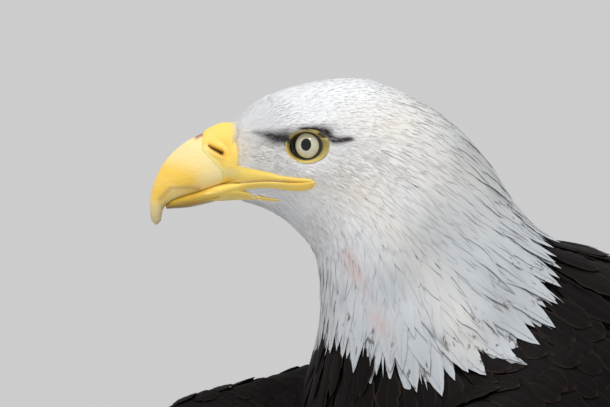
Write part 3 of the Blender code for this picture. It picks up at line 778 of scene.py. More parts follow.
# The lines that the skin is unwrapped about: through the head, neck and trunk, and down each limb.
TRUNK_LINE = [head_point(-36, 0, 0), head_point(20, 0, 0), head_point(60, -50, 0), Vector((0, -0.16, 0.44)),
              Vector((0, -0.06, 0.31)), Vector((0, 0.1, 0.2)), Vector((0, 0.3, 0.03))]


def limb_line(way, leg):
    ends = ((0.062, -0.12, 0.33), (0.064, -0.08, 0.07)) if leg else ((0.09, -0.27, 0.40), (0.045, 0.3, 0.07))
    return [Vector((x * way, y, z)) for x, y, z in ends]


def unwrap(points, line):
    """Each point's place round a line and along it, both from 0 to 1: the skin laid out flat."""
    best = np.full(len(points), 1e9)
    place = np.zeros((len(points), 2))
    run = 0.0
    for a, b in zip(line, line[1:]):
        way = np.array((b - a).normalized())
        long = (b - a).length
        t = np.clip((points - np.array(a)) @ way, 0, long)
        off = points - np.array(a) - t[:, None] * way
        far = np.linalg.norm(off, axis=1)
        side = np.array(Vector(way).cross(UP).normalized())
        high = np.cross(side, way)
        angle = np.arctan2(off @ side, off @ high) / (2 * math.pi) + 0.5
        nearer = far < best
        best = np.where(nearer, far, best)
        place[nearer] = np.stack([angle, run + t], 1)[nearer]
        run += long
    place[:, 1] /= run
    spread = np.maximum(place.max(0) - place.min(0), 1e-6)
    return 0.01 + 0.98 * (place - place.min(0)) / spread


def sampled(rows, shares):
    """Points along each line at these shares of its way: one row of shares for each line."""
    steps = rows.shape[1] - 1
    place = np.clip(shares * steps, 0, steps - 1e-6)
    first = place.astype(int)
    part = (place - first)[..., None]
    each = np.arange(len(rows))[:, None]
    return rows[each, first] * (1 - part) + rows[each, first + 1] * part


def clumped(line, over, half_widths, strands, rings, gather, rng):
    """Splits each feather into strands that part toward its tip, the outer ones shorter."""
    across = unit(np.cross(over, unit(np.gradient(line, axis=1))))
    t = np.linspace(0, 1, rings)[None]
    spread = np.where(t < 0.45, np.clip(t / 0.45, 0, 1) ** 0.7, 1 - gather * (np.clip(t - 0.45, 0, 1) / 0.55) ** 1.2)
    lines, overs, tones = [], [], rng.random(len(line))
    for k in range(strands):
        place = -1 + 2 * (k + 0.5) / strands + rng.normal(0, 0.12, len(line))
        share = t * (1 - 0.40 * gather * np.abs(place) ** 1.3 - rng.uniform(0, 0.10, len(line)))[:, None]
        offset = (place * half_widths)[:, None] * spread
        lines.append(sampled(line, share) + sampled(across, share) * offset[..., None])
        overs.append(sampled(over, share) + sampled(across, share) * 0.25 * place[:, None, None])
    widths = np.tile(half_widths / strands * 1.5, strands)
    tone = np.clip(np.tile(tones, strands) + rng.normal(0, 0.04, len(line) * strands), 0, 1)
    return np.concatenate(lines), unit(np.concatenate(overs)), widths, tone


def coat(name, kinds, line, material, seed):
    """One piece of the coat. Each kind says where its feathers grow and how they are shaped."""
    skin = SKIN["skin"]
    sets, uvs = [], []
    for index, kind in enumerate(kinds):
        rng = np.random.default_rng(seed * 100 + index)
        grow_long, grow_wide = kind.get("long", 1.0), kind.get("wide", 1.0)

        def measured(points, kind=kind):
            size = plumage(points)[1]
            long = size[:, 0] * grow_long if "length" not in kind else np.full(len(points), kind["length"] * MM)
            return long, np.minimum(size[:, 1], kind.get("most", 99) * MM) * grow_wide, size[:, 2]

        def spacing(points, kind=kind, measured=measured):
            long, half, _ = measured(points)
            return np.sqrt(long * 2 * half / kind["cover"])

        if "roots" in kind:
            roots = kind["roots"](skin)
        else:
            roots = scatter(skin, kind["where"], spacing, seed * 100 + 50 + index)
        lengths, widths, depths = measured(roots)
        spread = kind.get("spread", 0.16)
        lengths = lengths * rng.uniform(1 - spread, 1 + spread, len(roots))
        widths = widths * rng.uniform(1 - spread, 1 + spread, len(roots))
        rings, strands = kind.get("rings", 5), kind.get("strands", 1)
        path, over = spines(skin, roots, lengths, depths, rings, kind.get("rise", 1.0),
                            kind.get("yaw", 0.08), kind.get("loose", 0.14), rng)
        tone, places = rng.random(len(roots)), unwrap(roots, line)
        if strands > 1:
            path, over, widths, tone = clumped(path, over, widths, strands, rings, kind.get("gather", 0.5), rng)
            places = np.tile(places, (strands, 1))
        shape = vane_shape(rings, kind.get("widest", 0.3), kind.get("blunt", 1.6))
        points, edge = vanes(path, over, widths, shape, kind.get("columns", 3),
                             kind.get("camber", 0.35), kind.get("ragged", 0.2), rng)
        sets.append((points, edge, tone))
        uvs.append(places)
    keep(name, joined(name, sets, uvs), material)


def tufts(name, rows, material, soot, seed):
    """Short bristles with their roots along lines on both sides of the face."""
    rng = np.random.default_rng(seed)
    skin, paths, overs, widths = SKIN["skin"], [], [], []
    for way in (1, -1):
        for line, count, lie, length, half, lift, stray in rows:
            stops = np.linspace(0, len(line) - 1, count) + rng.normal(0, 0.3 * len(line) / count, count)
            for stop in np.clip(stops, 0, len(line) - 1.001):
                i = int(stop)
                b, u = np.array(line[i]) + (np.array(line[i + 1]) - np.array(line[i])) * (stop - i)
                b, u = float(b + rng.normal(0, stray)), float(u + rng.normal(0, stray))
                side = skin.side_at(b, u, way)
                toward = np.array(lie) + rng.normal(0, 0.14, 3)
                reach = length * rng.uniform(0.7, 1.15)
                path = [(b + toward[0] * reach * t, u + toward[1] * reach * t,
                         way * (side - 0.3 + toward[2] * reach * t + lift * math.sin(math.pi * t * 0.7)))
                        for t in np.linspace(0, 1, 5)]
                paths.append(head_points(path))
                overs.append(np.tile(np.array(SIDE * way), (5, 1)))
                widths.append(half * MM * rng.uniform(0.7, 1.2))
    shape = vane_shape(5, 0.3, 1.3)
    points, edge = vanes(np.array(paths), np.array(overs), np.array(widths), shape, 3, 0.5, 0.1, rng)
    mesh = joined(name, [(points, edge, rng.random(len(paths)))], [unwrap(points[:, 0, 1], TRUNK_LINE)])
    # Every bristle of a set gets one value: 1 paints them dark, as bristles and painted shade under the brow and behind
    # the eye
    mesh.attributes.remove(mesh.attributes["soot"])
    set_mark(mesh, "soot", np.full(len(mesh.vertices), soot))
    keep(name, mesh, material)


# ---------------------------------------------------------------- finishes

def fibres(f, count, slant):
    """Fine barbs along a vane, or slanting outward from its shaft."""
    along, across, tone = f.mark("along"), f.mark("across"), f.mark("tone")
    run = f.node("ShaderNodeCombineXYZ", sockets={
        0: across * count * (1 - slant), 1: (along * 1.4 - across.size() * 0.45) * count * slant + along * 1.3,
        2: tone * 60.0})
    return f.noise(1.0, 3, vector=run)


def white_plumage(colours):
    """White feathers: cream toward the cheek; dark bristles and painted shade at the brow and behind the eye; painted
    shade toward each root and low on the neck.
    """
    f = Finish("white_plumage", Roughness=0.65, Sheen_Weight=0.10, Sheen_Roughness=0.5, Specular_IOR_Level=0.25)
    along, tone = f.mark("along"), f.mark("tone")
    barbs, drift, fine = fibres(f, 6.0, 0.0), f.noise(55, 3), f.noise(420, 2)
    slow = f.noise(24, 2)
    # Painted shade: a greyer, cooler white low on the neck, in slow clouds
    colour = f.mix(colours["white"], colours["cool_white"], f.mark("cool") * (0.55 + 0.6 * slow))
    colour = f.mix(colour, colours["cream"], f.mark("warm") * (0.15 + drift))
    colour = f.mix(colour, colours["grey"], f.mark("grey") * (0.15 + 0.8 * fine))
    streaks = (barbs * 0.9 + tone * 0.5 - 0.45).step(0.05, 0.45)
    colour = f.mix(colour, colours["umber"], f.mark("streak") * streaks * 0.42)
    colour = f.mix(colour, colours["yellow_skin"], f.mark("yellow") * (0.25 + 0.5 * fine))
    # Painted shade toward each root, where feathers overlap, and umber painted shade in slow clouds low on the neck
    root_shade = (1.0 - along).step(0.6, 1.1) * (0.06 + f.mark("cool") * 0.08)
    colour = f.mix(colour, colours["umber"], root_shade + f.mark("cool") * slow.step(0.5, 0.75) * 0.10)
    colour = f.mix(colour, colours["umber"], (1.0 - barbs).step(0.42, 0.75) * 0.08 + tone * 0.02)
    tipped = tone.step(0.90, 0.93) * along.step(0.62, 0.95) * barbs.step(0.42, 0.5)
    specks = f.noise(330, 2, stretch=(1.0, 1.0, 0.5)).step(0.60, 0.66) * along.step(0.35, 0.8) * tone.step(0.35, 0.6)
    colour = f.mix(colour, colours["speck"], f.mark("border") * (tipped * 0.7).most(specks * 0.75))
    colour = f.mix(colour, colours["stain"], f.mark("stain") * (drift * 3.0 - 0.9).step(0.0, 1.0))
    colour = f.mix(colour, colours["umber"], f.mark("grey") * tone.step(0.62, 0.80) * 0.75)
    # Dark bristles and painted shade under the brow and behind the eye
    colour = f.mix(colour, colours["soot"], f.mark("soot") * (0.8 + 0.5 * tone))
    return f.feed(colour, height=barbs, distance=0.00006)


def dark_plumage(colours):
    """Dark brown feathers with slightly paler edges and shafts, and a grain of barbs."""
    f = Finish("dark_plumage", Roughness=0.6, Specular_IOR_Level=0.08)
    along, across, tone = f.mark("along"), f.mark("across"), f.mark("tone")
    barbs, drift = fibres(f, 9.0, 0.8), f.noise(30, 3)
    rim = across.size().step(0.74, 1.05).most(along.step(0.90, 1.0))
    colour = f.mix(colours["dark"], colours["dark_brown"], tone * 0.5 + drift * 0.5)
    colour = f.mix(colour, colours["edge_brown"], rim * (drift * 1.2 - 0.15) * (0.35 + barbs))
    shaft = 1.0 - across.size().step(0.02, 0.08)
    colour = f.mix(colour, colours["shaft"], shaft * 0.25)
    return f.feed(colour, 0.52 + barbs * 0.2, height=barbs, distance=0.0002)


def tail_plumage(colours):
    f = Finish("tail_plumage", Roughness=0.65, Sheen_Weight=0.10, Sheen_Roughness=0.5, Specular_IOR_Level=0.25)
    along, across, tone = f.mark("along"), f.mark("across"), f.mark("tone")
    barbs, drift = fibres(f, 14.0, 0.8), f.noise(40, 3)
    colour = f.mix(colours["white"], colours["cream"], drift * 0.3 + tone * 0.1)
    # Painted shade toward each root, where feathers overlap
    root_shade = (1.0 - along).step(0.6, 1.0) * 0.3
    colour = f.mix(colour, colours["umber"], root_shade + (1.0 - barbs).step(0.45, 0.75) * 0.08)
    shaft = 1.0 - across.size().step(0.02, 0.08)
    colour = f.mix(colour, colours["cream"], shaft * 0.8)
    return f.feed(colour, height=barbs, distance=0.0002)


def bare_skin(colours):
    """Waxy yellow skin of the cere, gape and lids, creased, with painted shade inside the nostril and dark at the lids'
    margin.
    """
    f = Finish("bare_yellow_skin", Subsurface_Weight=0.12, Subsurface_Scale=0.002)
    drift, fine = f.noise(90, 3), f.noise(700, 3)
    colour = f.mix(colours["yellow_skin"], colours["orange_skin"], f.mark("orange") * (0.6 + 0.6 * drift))
    colour = f.mix(colour, colours["pale_skin"], f.mark("pale") * 0.6 + drift.step(0.55, 0.8) * 0.2)
    # Painted shade inside the nostril's slit
    colour = f.mix(colour, colours["nostril"], f.mark("hollow"))
    colour = f.mix(colour, colours["lid_olive"], f.mark("olive") * (0.5 + 0.7 * drift))
    colour = f.mix(colour, colours["lid_dark"], f.mark("rim"))
    creases = f.cells(1100) * 0.5 + fine * 0.6 + drift * 1.5
    return f.feed(colour, 0.34 + fine * 0.2, height=creases, distance=0.00016)


def bill_horn(colours):
    """Yellow horn: deeper gold low on the side, peach above, clear and pale toward the tip and edge with a faint patch
    of painted sheen on the side; the lower bill darker with painted shade under the upper bill, and browner painted
    shade along its underside.
    """
    f = Finish("bill_horn", Subsurface_Weight=0.15, Subsurface_Scale=0.003, Coat_Weight=0.25, Coat_Roughness=0.25)
    drift, lines = f.noise(60, 3), f.noise(260, 3, stretch=(1.0, 1.0, 2.2))
    colour = f.mix(colours["horn_peach"], colours["horn_gold"], f.mark("gold") * (0.55 + 0.8 * drift))
    # The lower bill's yellow carries painted shade under the upper bill
    colour = f.mix(colour, colours["mandible"], f.mark("lower"))
    colour = f.mix(colour, colours["yellow_skin"], f.mark("lower") * f.mark("base") * 0.8)
    # Painted shade along the lower bill's underside
    colour = f.mix(colour, colours["horn_brown"], f.mark("lower") * f.mark("under") * 0.9)
    # Clear horn toward the tip and edge, and a faint patch of painted sheen on the bill's side
    colour = f.mix(colour, colours["horn_clear"], f.mark("clear") * (1.0 - f.mark("lower")))
    colour = f.mix(colour, colours["horn_grey"], f.mark("fold") * 0.6)
    colour = f.mix(colour, colours["scar"], f.mark("scar") * (drift * 2.0 - 0.2).step(0.2, 0.9))
    return f.feed(colour, 0.26 + lines * 0.18, height=lines + drift, distance=0.0003)


def eye_finish(colours):
    """A wet eye: pale iris with fine spokes, black pupil, dark edge."""
    f = Finish("eye", Roughness=0.25, Specular_IOR_Level=0.1, Coat_Weight=1.0, Coat_Roughness=0.12, Coat_IOR=1.42)
    x, y, z = f.axes(f.node("ShaderNodeUVMap", {"uv_map": "iris"}))
    x, y = (x - 0.5) * 20.0, (y - 0.5) * 20.0
    reach = (x * x + y * y) ** 0.5
    px, py = (x + 0.2) / 2.72, (y - 0.35) / 3.1
    pupil = 1.0 - ((px * px + py * py) ** 0.5).step(0.94, 1.04)
    spokes = f.noise(1.0, 3, vector=f.node("ShaderNodeCombineXYZ", sockets={
        0: x / reach * 9.0, 1: y / reach * 9.0, 2: reach * 0.5}))
    colour = f.mix(colours["iris"], colours["iris_deep"], spokes.step(0.45, 0.75) * 0.5)
    colour = f.mix(colour, colours["iris_deep"], reach.step(5.0, 6.3) * 0.6)
    colour = f.mix(colour, colours["lid_dark"], reach.step(6.15, 6.5))
    colour = f.mix(colour, colours["pupil"], pupil)
    return f.feed(colour)


def scaled_skin(colours):
    f = Finish("scaled_yellow_skin", Subsurface_Weight=0.06, Subsurface_Scale=0.002)
    scales, edges = f.cells(330, "F1"), f.cells(330)
    drift = f.noise(70, 3)
    colour = f.mix(colours["yellow_skin"], colours["orange_skin"], drift)
    colour = f.mix(colour, colours["scale_gap"], (1.0 - edges.step(0.0, 0.12)) * 0.42 + f.mark("hollow") * 0.5)
    return f.feed(colour, 0.42 + drift * 0.2, height=edges.step(0.0, 0.25) + 0.3 * scales, distance=0.0005)


def claw_horn(colours):
    f = Finish("claw_horn", Coat_Weight=0.3, Coat_Roughness=0.2)
    grain = f.noise(160, 4, stretch=(1.0, 1.0, 0.3))
    colour = f.mix(colours["claw"], colours["claw_grey"], grain.step(0.45, 0.8) * 0.6)
    return f.feed(colour, 0.22 + grain * 0.2, height=grain, distance=0.0002)


# ---------------------------------------------------------------- what grows where

def bare(points):
    """Places with no feathers: the lids, the gape, the chin's edges and under the bill."""
    b, u, s = from_eyes(points).T
    lids = ((b + 0.2) / 11.0) ** 2 + ((u - 0.2) / 8.3) ** 2 < 1
    gape = near_line(b, u, GAPE_LINE) < np.interp(b, (-41, -30, -12, 3), (4.6, 3.4, 2.0, 1.6))
    chin = near_line(b, u, ((-41, -24.4), (-27, -24.9), (-16, -26.6))) < np.interp(b, (-41, -16), (2.6, 0.8))
    return (np.abs(s) > 9) & (lids | gape | chin) | (b < -36.8)


def long_enough(points, low, high):
    size = plumage(points)[1][:, 0] / MM
    return (size >= low) & (size < high)


def face_zone(points, labels):
    return (white_reach(points) > 0) & long_enough(points, 0, 6.4) & ~bare(points)


def head_zone(points, labels):
    return (white_reach(points) > 0) & long_enough(points, 6.4, 15) & ~bare(points)


def neck_zone(points, labels):
    return (white_reach(points) > 0) & long_enough(points, 15, 99) & ~bare(points)


def border_zone(points, labels):
    reach = white_reach(points)
    return (reach > 7) & (reach < 24) & (from_eyes(points)[:, 1] < 12)


# Where the longest hackles end on each side, in mm back, up and to the side; or ON_SKIN
ON_SKIN = None
HACKLE_TIPS = (
    (4.5, -103, 10), (14, -103.5, ON_SKIN), (20, -104, ON_SKIN), (25.5, -111.5, ON_SKIN), (34, -105, ON_SKIN),
    (42.5, -110.5, ON_SKIN), (48, -110, ON_SKIN), (54.5, -120, ON_SKIN), (61, -113, ON_SKIN), (67, -123, ON_SKIN),
    (79, -112, ON_SKIN), (88, -114, ON_SKIN), (98, -107, ON_SKIN), (107, -109.5, ON_SKIN), (112, -99, ON_SKIN),
    (120, -91, ON_SKIN), (122, -80, ON_SKIN), (123, -71, ON_SKIN), (121, -60, ON_SKIN), (115, -51, ON_SKIN),
    (2, -107, 3), (121, -56, 2),
)
HACKLE_LENGTH = 40.0


WALK_STEPS, AIM_ROUNDS, AIM_SHARE = 10, 4, 0.7


def walked(skin, places, distance):
    """Where places come to, carried along the plumage's lie, or against it if the distance is below 0."""
    places, normals = skin.nearest(places)
    for _ in range(WALK_STEPS):
        way = plumage(places)[0]
        way = unit(way - normals * (way * normals).sum(1)[:, None])
        places, normals = skin.nearest(places + way * distance / WALK_STEPS)
    return places


def hackle_roots(skin):
    """Places from which the plumage's lie leads to the tips of the longest hackles."""
    tips = np.array([head_point(b, u, way * (skin.side_at(b, u, way) if s is ON_SKIN else s))
                     for b, u, s in HACKLE_TIPS for way in (1, -1)], float)
    aims = tips.copy()
    for _ in range(AIM_ROUNDS):
        roots = walked(skin, aims, -HACKLE_LENGTH * MM)
        aims = aims + AIM_SHARE * (tips - walked(skin, roots, HACKLE_LENGTH * MM))
    return roots


def one_side(zone, way):
    return lambda points, labels: zone(points, labels) & (points[:, 0] * way > 0)


# Rows of short bristles: the line of their roots, how many, their lie, length, half width, lift and stray
FACE_TUFTS = (
    (((-37.0, 12.6), (-36.8, 6), (-36.9, 0), (-37.4, -5), (-38.0, -9.5)), 170, (1.0, 0.12, 0.05), 2.8, 0.09, 0.15, 0.7),
    (((-35.2, 12.6), (-35.2, 0), (-36.2, -9.5)), 150, (1.0, 0.05, 0.08), 3.6, 0.11, 0.25, 0.9),
    (((-6, -8.6), (-2, -9.3), (3, -9.2), (7, -7.6)), 26, (0.25, -0.95, 0.20), 1.7, 0.22, 0.5, 0.2),
    (((-32, -22.6), (-26, -22.8), (-20, -23.6)), 60, (0.90, -0.35, 0.22), 6.0, 0.20, 0.8, 0.7),
    (((-36, -9.4), (-28, -10.9), (-18, -13.0), (-8, -15.1)), 150, (0.95, -0.30, 0.12), 3.2, 0.11, 0.3, 0.4),
)
BROW_BRISTLES = (
    (((-23, 6.2), (-19, 5.4), (-14, 4.4), (-11, 3.4), (-11, 3.4)), 110, (1.0, -0.28, 0.06), 3.4, 0.15, 0.3, 0.7),
    (((-16, 3.4), (-13.5, 1.6), (-12.8, -1.0)), 44, (0.7, -0.5, 0.10), 1.6, 0.13, 0.2, 0.5),
    (((-5, 9.2), (0, 10.0), (6, 9.3), (10.8, 7.0), (13.4, 3.8)), 100, (1.0, -0.20, 0.10), 3.2, 0.16, 0.2, 0.4),
)


def dark_body_zone(points, labels):
    rear = (points[:, 1] > 0.082) & (points[:, 2] < 0.30)
    return (white_reach(points) < -12) & of_nodes(labels, "head", "neck", "breast", "trunk") & ~rear


def breast_zone(points, labels):
    front = points[:, 1] + 0.9 * (points[:, 2] - 0.38) < -0.11
    return dark_body_zone(points, labels) & front


def back_zone(points, labels):
    return dark_body_zone(points, labels) & ~breast_zone(points, labels)


def covert_zone(points, labels):
    return (points[:, 1] > 0.084) & of_nodes(labels, "trunk") & (np.abs(points[:, 0]) < 0.06)


def wing_zone(way):
    return lambda points, labels: of_nodes(labels, "wing_" + SIDES[way]) & (white_reach(points) < -27)


def thigh_zone(way):
    return lambda points, labels: of_nodes(labels, "thigh_" + SIDES[way])


# ---------------------------------------------------------------- flight feathers and tail

# The folded wing from its arm to its tip: top edge x, y, z, lower edge x, y, z, half thickness, in m
WING_ROWS = (
    (0.068, -0.0794, 0.480, 0.091, -0.1064, 0.247, 0.0250),
    (0.058, -0.0254, 0.443, 0.083, -0.0614, 0.221, 0.0220),
    (0.048, 0.0236, 0.386, 0.076, -0.0114, 0.193, 0.0180),
    (0.040, 0.0746, 0.308, 0.071, 0.0466, 0.164, 0.0130),
    (0.033, 0.1306, 0.239, 0.067, 0.1066, 0.135, 0.0080),
    (0.028, 0.1836, 0.178, 0.066, 0.1626, 0.122, 0.0055),
    (0.028, 0.2286, 0.126, 0.064, 0.2166, 0.098, 0.0040),
    (0.036, 0.2626, 0.087, 0.054, 0.2566, 0.078, 0.0020),
)
# Each group: how many, root's row and share down, tip's row and share down (first to last), half width, lift
FLIGHT_GROUPS = (
    ("primary", 8, (2.0, 0.30), (2.6, 0.80), (6.95, 0.45), (5.7, 0.90), 0.0150, 0.3),
    ("secondary", 11, (0.2, 0.45), (0.6, 0.97), (4.9, 0.62), (2.6, 1.00), 0.0185, 1.1),
    ("tertial", 7, (0.0, 0.10), (0.3, 0.50), (3.0, 0.10), (4.6, 0.60), 0.0220, 1.9),
)
TAIL_ROWS = (
    (0.0646, 0.227, 0.030, 0.0130), (0.1086, 0.191, 0.036, 0.0100), (0.1686, 0.139, 0.044, 0.0065),
    (0.2286, 0.087, 0.052, 0.0055), (0.2706, 0.051, 0.056, 0.0040), (0.2866, 0.037, 0.050, 0.0030),
    (0.2946, 0.030, 0.030, 0.0020),
)


def row_at(rows, place):
    place = min(max(place, 0.0), len(rows) - 1.001)
    i = int(place)
    a, b = np.array(rows[i]), np.array(rows[i + 1])
    return a + (b - a) * (place - i)


def wing_place(row, share, lift, way):
    """A point on the folded wing's outer face, and which way is out there."""
    r = row_at(WING_ROWS, row)
    top, low = Vector(r[0:3]), Vector(r[3:6])
    out = (low - top).cross(Vector((0.0, 1.0, -0.7))).normalized()
    if out.x < 0:
        out = -out
    share = min(max(share, 0.0), 1.0)
    bow = r[6] * 2 * math.sqrt(share * (1 - share))
    point = top.lerp(low, share) + out * (bow + lift)
    tilt = (out + (low - top).normalized() * (2 * share - 1) * 0.5).normalized()
    return Vector((point.x * way, point.y, point.z)), Vector((tilt.x * way, tilt.y, tilt.z))


def long_vanes(paths, half_widths, columns, widest, blunt, camber, ragged, seed):
    line = np.array([[p[0] for p in path] for path in paths], float)
    over = np.array([[p[1] for p in path] for path in paths], float)
    rng = np.random.default_rng(seed)
    shape = vane_shape(line.shape[1], widest, blunt)
    points, edge = vanes(line, over, np.array(half_widths), shape, columns, camber, ragged, rng)
    rachis = np.exp(-(edge / 0.07) ** 2) * 0.0007
    ahead = unit(np.gradient(line, axis=1))
    lift = np.cross(ahead, unit(np.cross(over, ahead)))
    points = points + lift[:, :, None] * rachis[..., None]
    return points, edge, rng.random(len(line))


PATH_STEPS, TAIL_FEATHERS = 26, 12


def flight_feathers(way):
    paths, widths = [], []
    for _, count, root_a, root_b, tip_a, tip_b, width, lift in FLIGHT_GROUPS:
        for i in range(count):
            t = i / (count - 1)
            root = [a + (b - a) * t for a, b in zip(root_a, root_b)]
            tip = [a + (b - a) * t for a, b in zip(tip_a, tip_b)]
            path = []
            for k in range(PATH_STEPS):
                s = k / (PATH_STEPS - 1)
                row = root[0] + (tip[0] - root[0]) * s
                share = root[1] + (tip[1] - root[1]) * s ** 1.15
                path.append(wing_place(row, share, (lift + 0.9 * s) * MM, way))
            paths.append(path)
            widths.append(width)
    return long_vanes(paths, widths, 9, 0.45, 3.2, 0.10, 0.05, 7 + way)


def tail_feathers(under):
    paths, widths = [], []
    outermost = (TAIL_FEATHERS - 1) / 2
    for i in range(TAIL_FEATHERS):
        place = (i - outermost) / outermost
        path = []
        for k in range(PATH_STEPS):
            s = k / (PATH_STEPS - 1)
            y, z, half, thick = row_at(TAIL_ROWS, s * (5.9 - 0.5 * abs(place)))
            up = Vector((0.0, 0.65, 0.76))
            across = place * (half - 0.011 * (0.3 + 0.7 * s))
            height = (-1 if under else 1) * (thick * math.sqrt(max(1 - place ** 2 * 0.8, 0)) + 0.0006)
            height += 0.0007 * (1 - abs(place)) * (1 if under else 1)
            lean = Vector((place * 0.3, 0, 0))
            path.append((Vector((across, y, z)) + up * height, up * (-1 if under else 1) + lean))
        paths.append(path)
        widths.append(0.0165)
    return long_vanes(paths, widths, 9, 0.55, 4.5, 0.10, 0.04, 31 + under)


# ---------------------------------------------------------------- bill

# Upper bill: ridge back and up, cutting edge back and up, half width, widest, squareness, in mm
BILL_STATIONS = (
    (-36.4, 12.6, -35.3, -18.0, 15.0, 0.66, 0.40),
    (-44.5, 10.6, -40.0, -18.8, 13.6, 0.68, 0.40),
    (-52.0, 7.0, -45.0, -19.8, 12.2, 0.70, 0.40),
    (-60.0, 3.0, -52.0, -22.7, 10.8, 0.68, 0.42),
    (-67.0, -2.6, -59.0, -24.6, 9.2, 0.66, 0.43),
    (-72.2, -8.8, -65.5, -26.4, 7.6, 0.62, 0.44),
    (-76.2, -16.5, -70.0, -28.8, 6.0, 0.56, 0.46),
    (-78.2, -24.5, -72.0, -31.6, 4.5, 0.52, 0.48),
    (-78.5, -31.0, -72.6, -34.6, 3.2, 0.50, 0.50),
    (-77.9, -36.2, -73.2, -37.0, 2.0, 0.50, 0.50),
    (-75.6, -39.2, -74.9, -38.6, 0.5, 0.50, 0.50),
)
LOWER_BILL_STATIONS = (
    (-31.0, -16.5, -30.0, -25.6, 13.2, 0.40, 0.40),
    (-35.3, -17.0, -34.9, -26.2, 13.6, 0.40, 0.40),
    (-44.0, -18.6, -43.0, -26.5, 11.6, 0.40, 0.42),
    (-53.0, -21.6, -51.5, -28.6, 9.2, 0.40, 0.44),
    (-61.0, -24.0, -59.5, -30.2, 7.0, 0.40, 0.46),
    (-67.0, -26.2, -66.0, -30.7, 4.6, 0.42, 0.48),
    (-70.6, -29.0, -70.3, -30.9, 1.8, 0.50, 0.50),
)
# How far the cere's front edge bows back from a straight line, in mm, from its top to its bottom
CERE_EDGE = ((0, 0.2, 0.32, 0.44, 0.65, 0.75, 0.95, 1), (0, -2, -2.7, -1.1, 3.4, 4.9, 2.6, 0))
NOSTRIL = ((-49.2, 0.3), (-42.4, -3.3))
NOSTRIL_FOLD = ((-42.4, -3.3), (-40.4, -4.8))
BILL_AROUND = 96


def bill_rows(rows, bow):
    """Rings of the bill: one ring to each row, as (back, up, side) in mm."""
    rings = []
    for (top_b, top_u, low_b, low_u, width, widest, square), bend in zip(rows, bow):
        t = (1 - np.cos(2 * np.pi * np.arange(BILL_AROUND) / BILL_AROUND)) / 2
        skewed = t ** (math.log(0.5) / math.log(widest))
        share = np.clip(4 * skewed * (1 - skewed), 0, 1) ** square
        side = width * share * np.sign(np.sin(2 * np.pi * np.arange(BILL_AROUND) / BILL_AROUND))
        side[[0, BILL_AROUND // 2]] = 0.0
        b = top_b + (low_b - top_b) * t + bend * np.interp(t, *CERE_EDGE)
        rings.append(np.stack([b, top_u + (low_u - top_u) * t, side], 1))
    return rings


def bill_marks(mesh):
    b, u, s = from_eyes(points_of(mesh)).T
    gold = bell(near_line(b, u, ((-60, -17), (-70, -14), (-74, -22))), 0, 7.5) * 1.1
    edge = near_line(b, u, ((-72, -30), (-66, -26.5), (-56, -23.5)))
    clear = smooth(-u - 0.25 * (b + 72), 27, 37) + 0.7 * bell(edge, 0, 1.6)
    # A faint patch of painted sheen on the side of the upper bill
    clear = clear + 0.15 * bell(np.hypot(b + 62, u + 1), 0, 6)
    fold = bell(near_line(b, u, ((-73.5, -26), (-68, -20.5), (-60, -20.2), (-54, -21))), 0, 1.1)
    scar = bell(near_line(b, u, ((-55, 5.0), (-51.5, 6.6))), 0, 1.3)
    # under: painted shade along the lower bill's underside
    under = bell(near_line(b, u, ((-73, -31.4), (-66, -31.6), (-55, -30.6), (-46, -28.6), (-40, -27.2))), 0, 2.6)
    base = smooth(b, -58, -45)
    for name, values in (("base", base), ("gold", gold), ("clear", clear), ("fold", fold), ("scar", scar),
                         ("under", under)):
        set_mark(mesh, name, np.clip(values, 0, 1))


def cere_marks(mesh):
    b, u, s = from_eyes(points_of(mesh)).T
    slit = near_line(b, u, NOSTRIL)
    wide = np.interp(b, (-49.5, -43), (0.45, 1.2))
    # hollow: painted shade inside the nostril's slit
    hollow = (1 - smooth(slit, 0.45 * wide, wide)) * smooth(np.abs(s), 2, 4)
    orange = bell(slit, 0, 2.6) + 0.5 * bell(b, -40, 4) * bell(u, 1.5, 6)
    orange = orange + 0.5 * bell(near_line(b, u, GAPE_LINE), 0, 2.0) * (b > -12)
    pale = bell(near_line(b, u, ((-52, -1), (-47, -8), (-42, -13), (-37, -13.5))), 0, 2.4)
    for name, values in (("hollow", hollow), ("orange", orange), ("pale", pale)):
        set_mark(mesh, name, np.clip(values, 0, 1))
    set_mark(mesh, "rim", np.zeros(len(b)))
    set_mark(mesh, "olive", np.zeros(len(b)))


def place_rings(rings):
    return [[Vector(p) for p in head_points(ring)] for ring in rings]


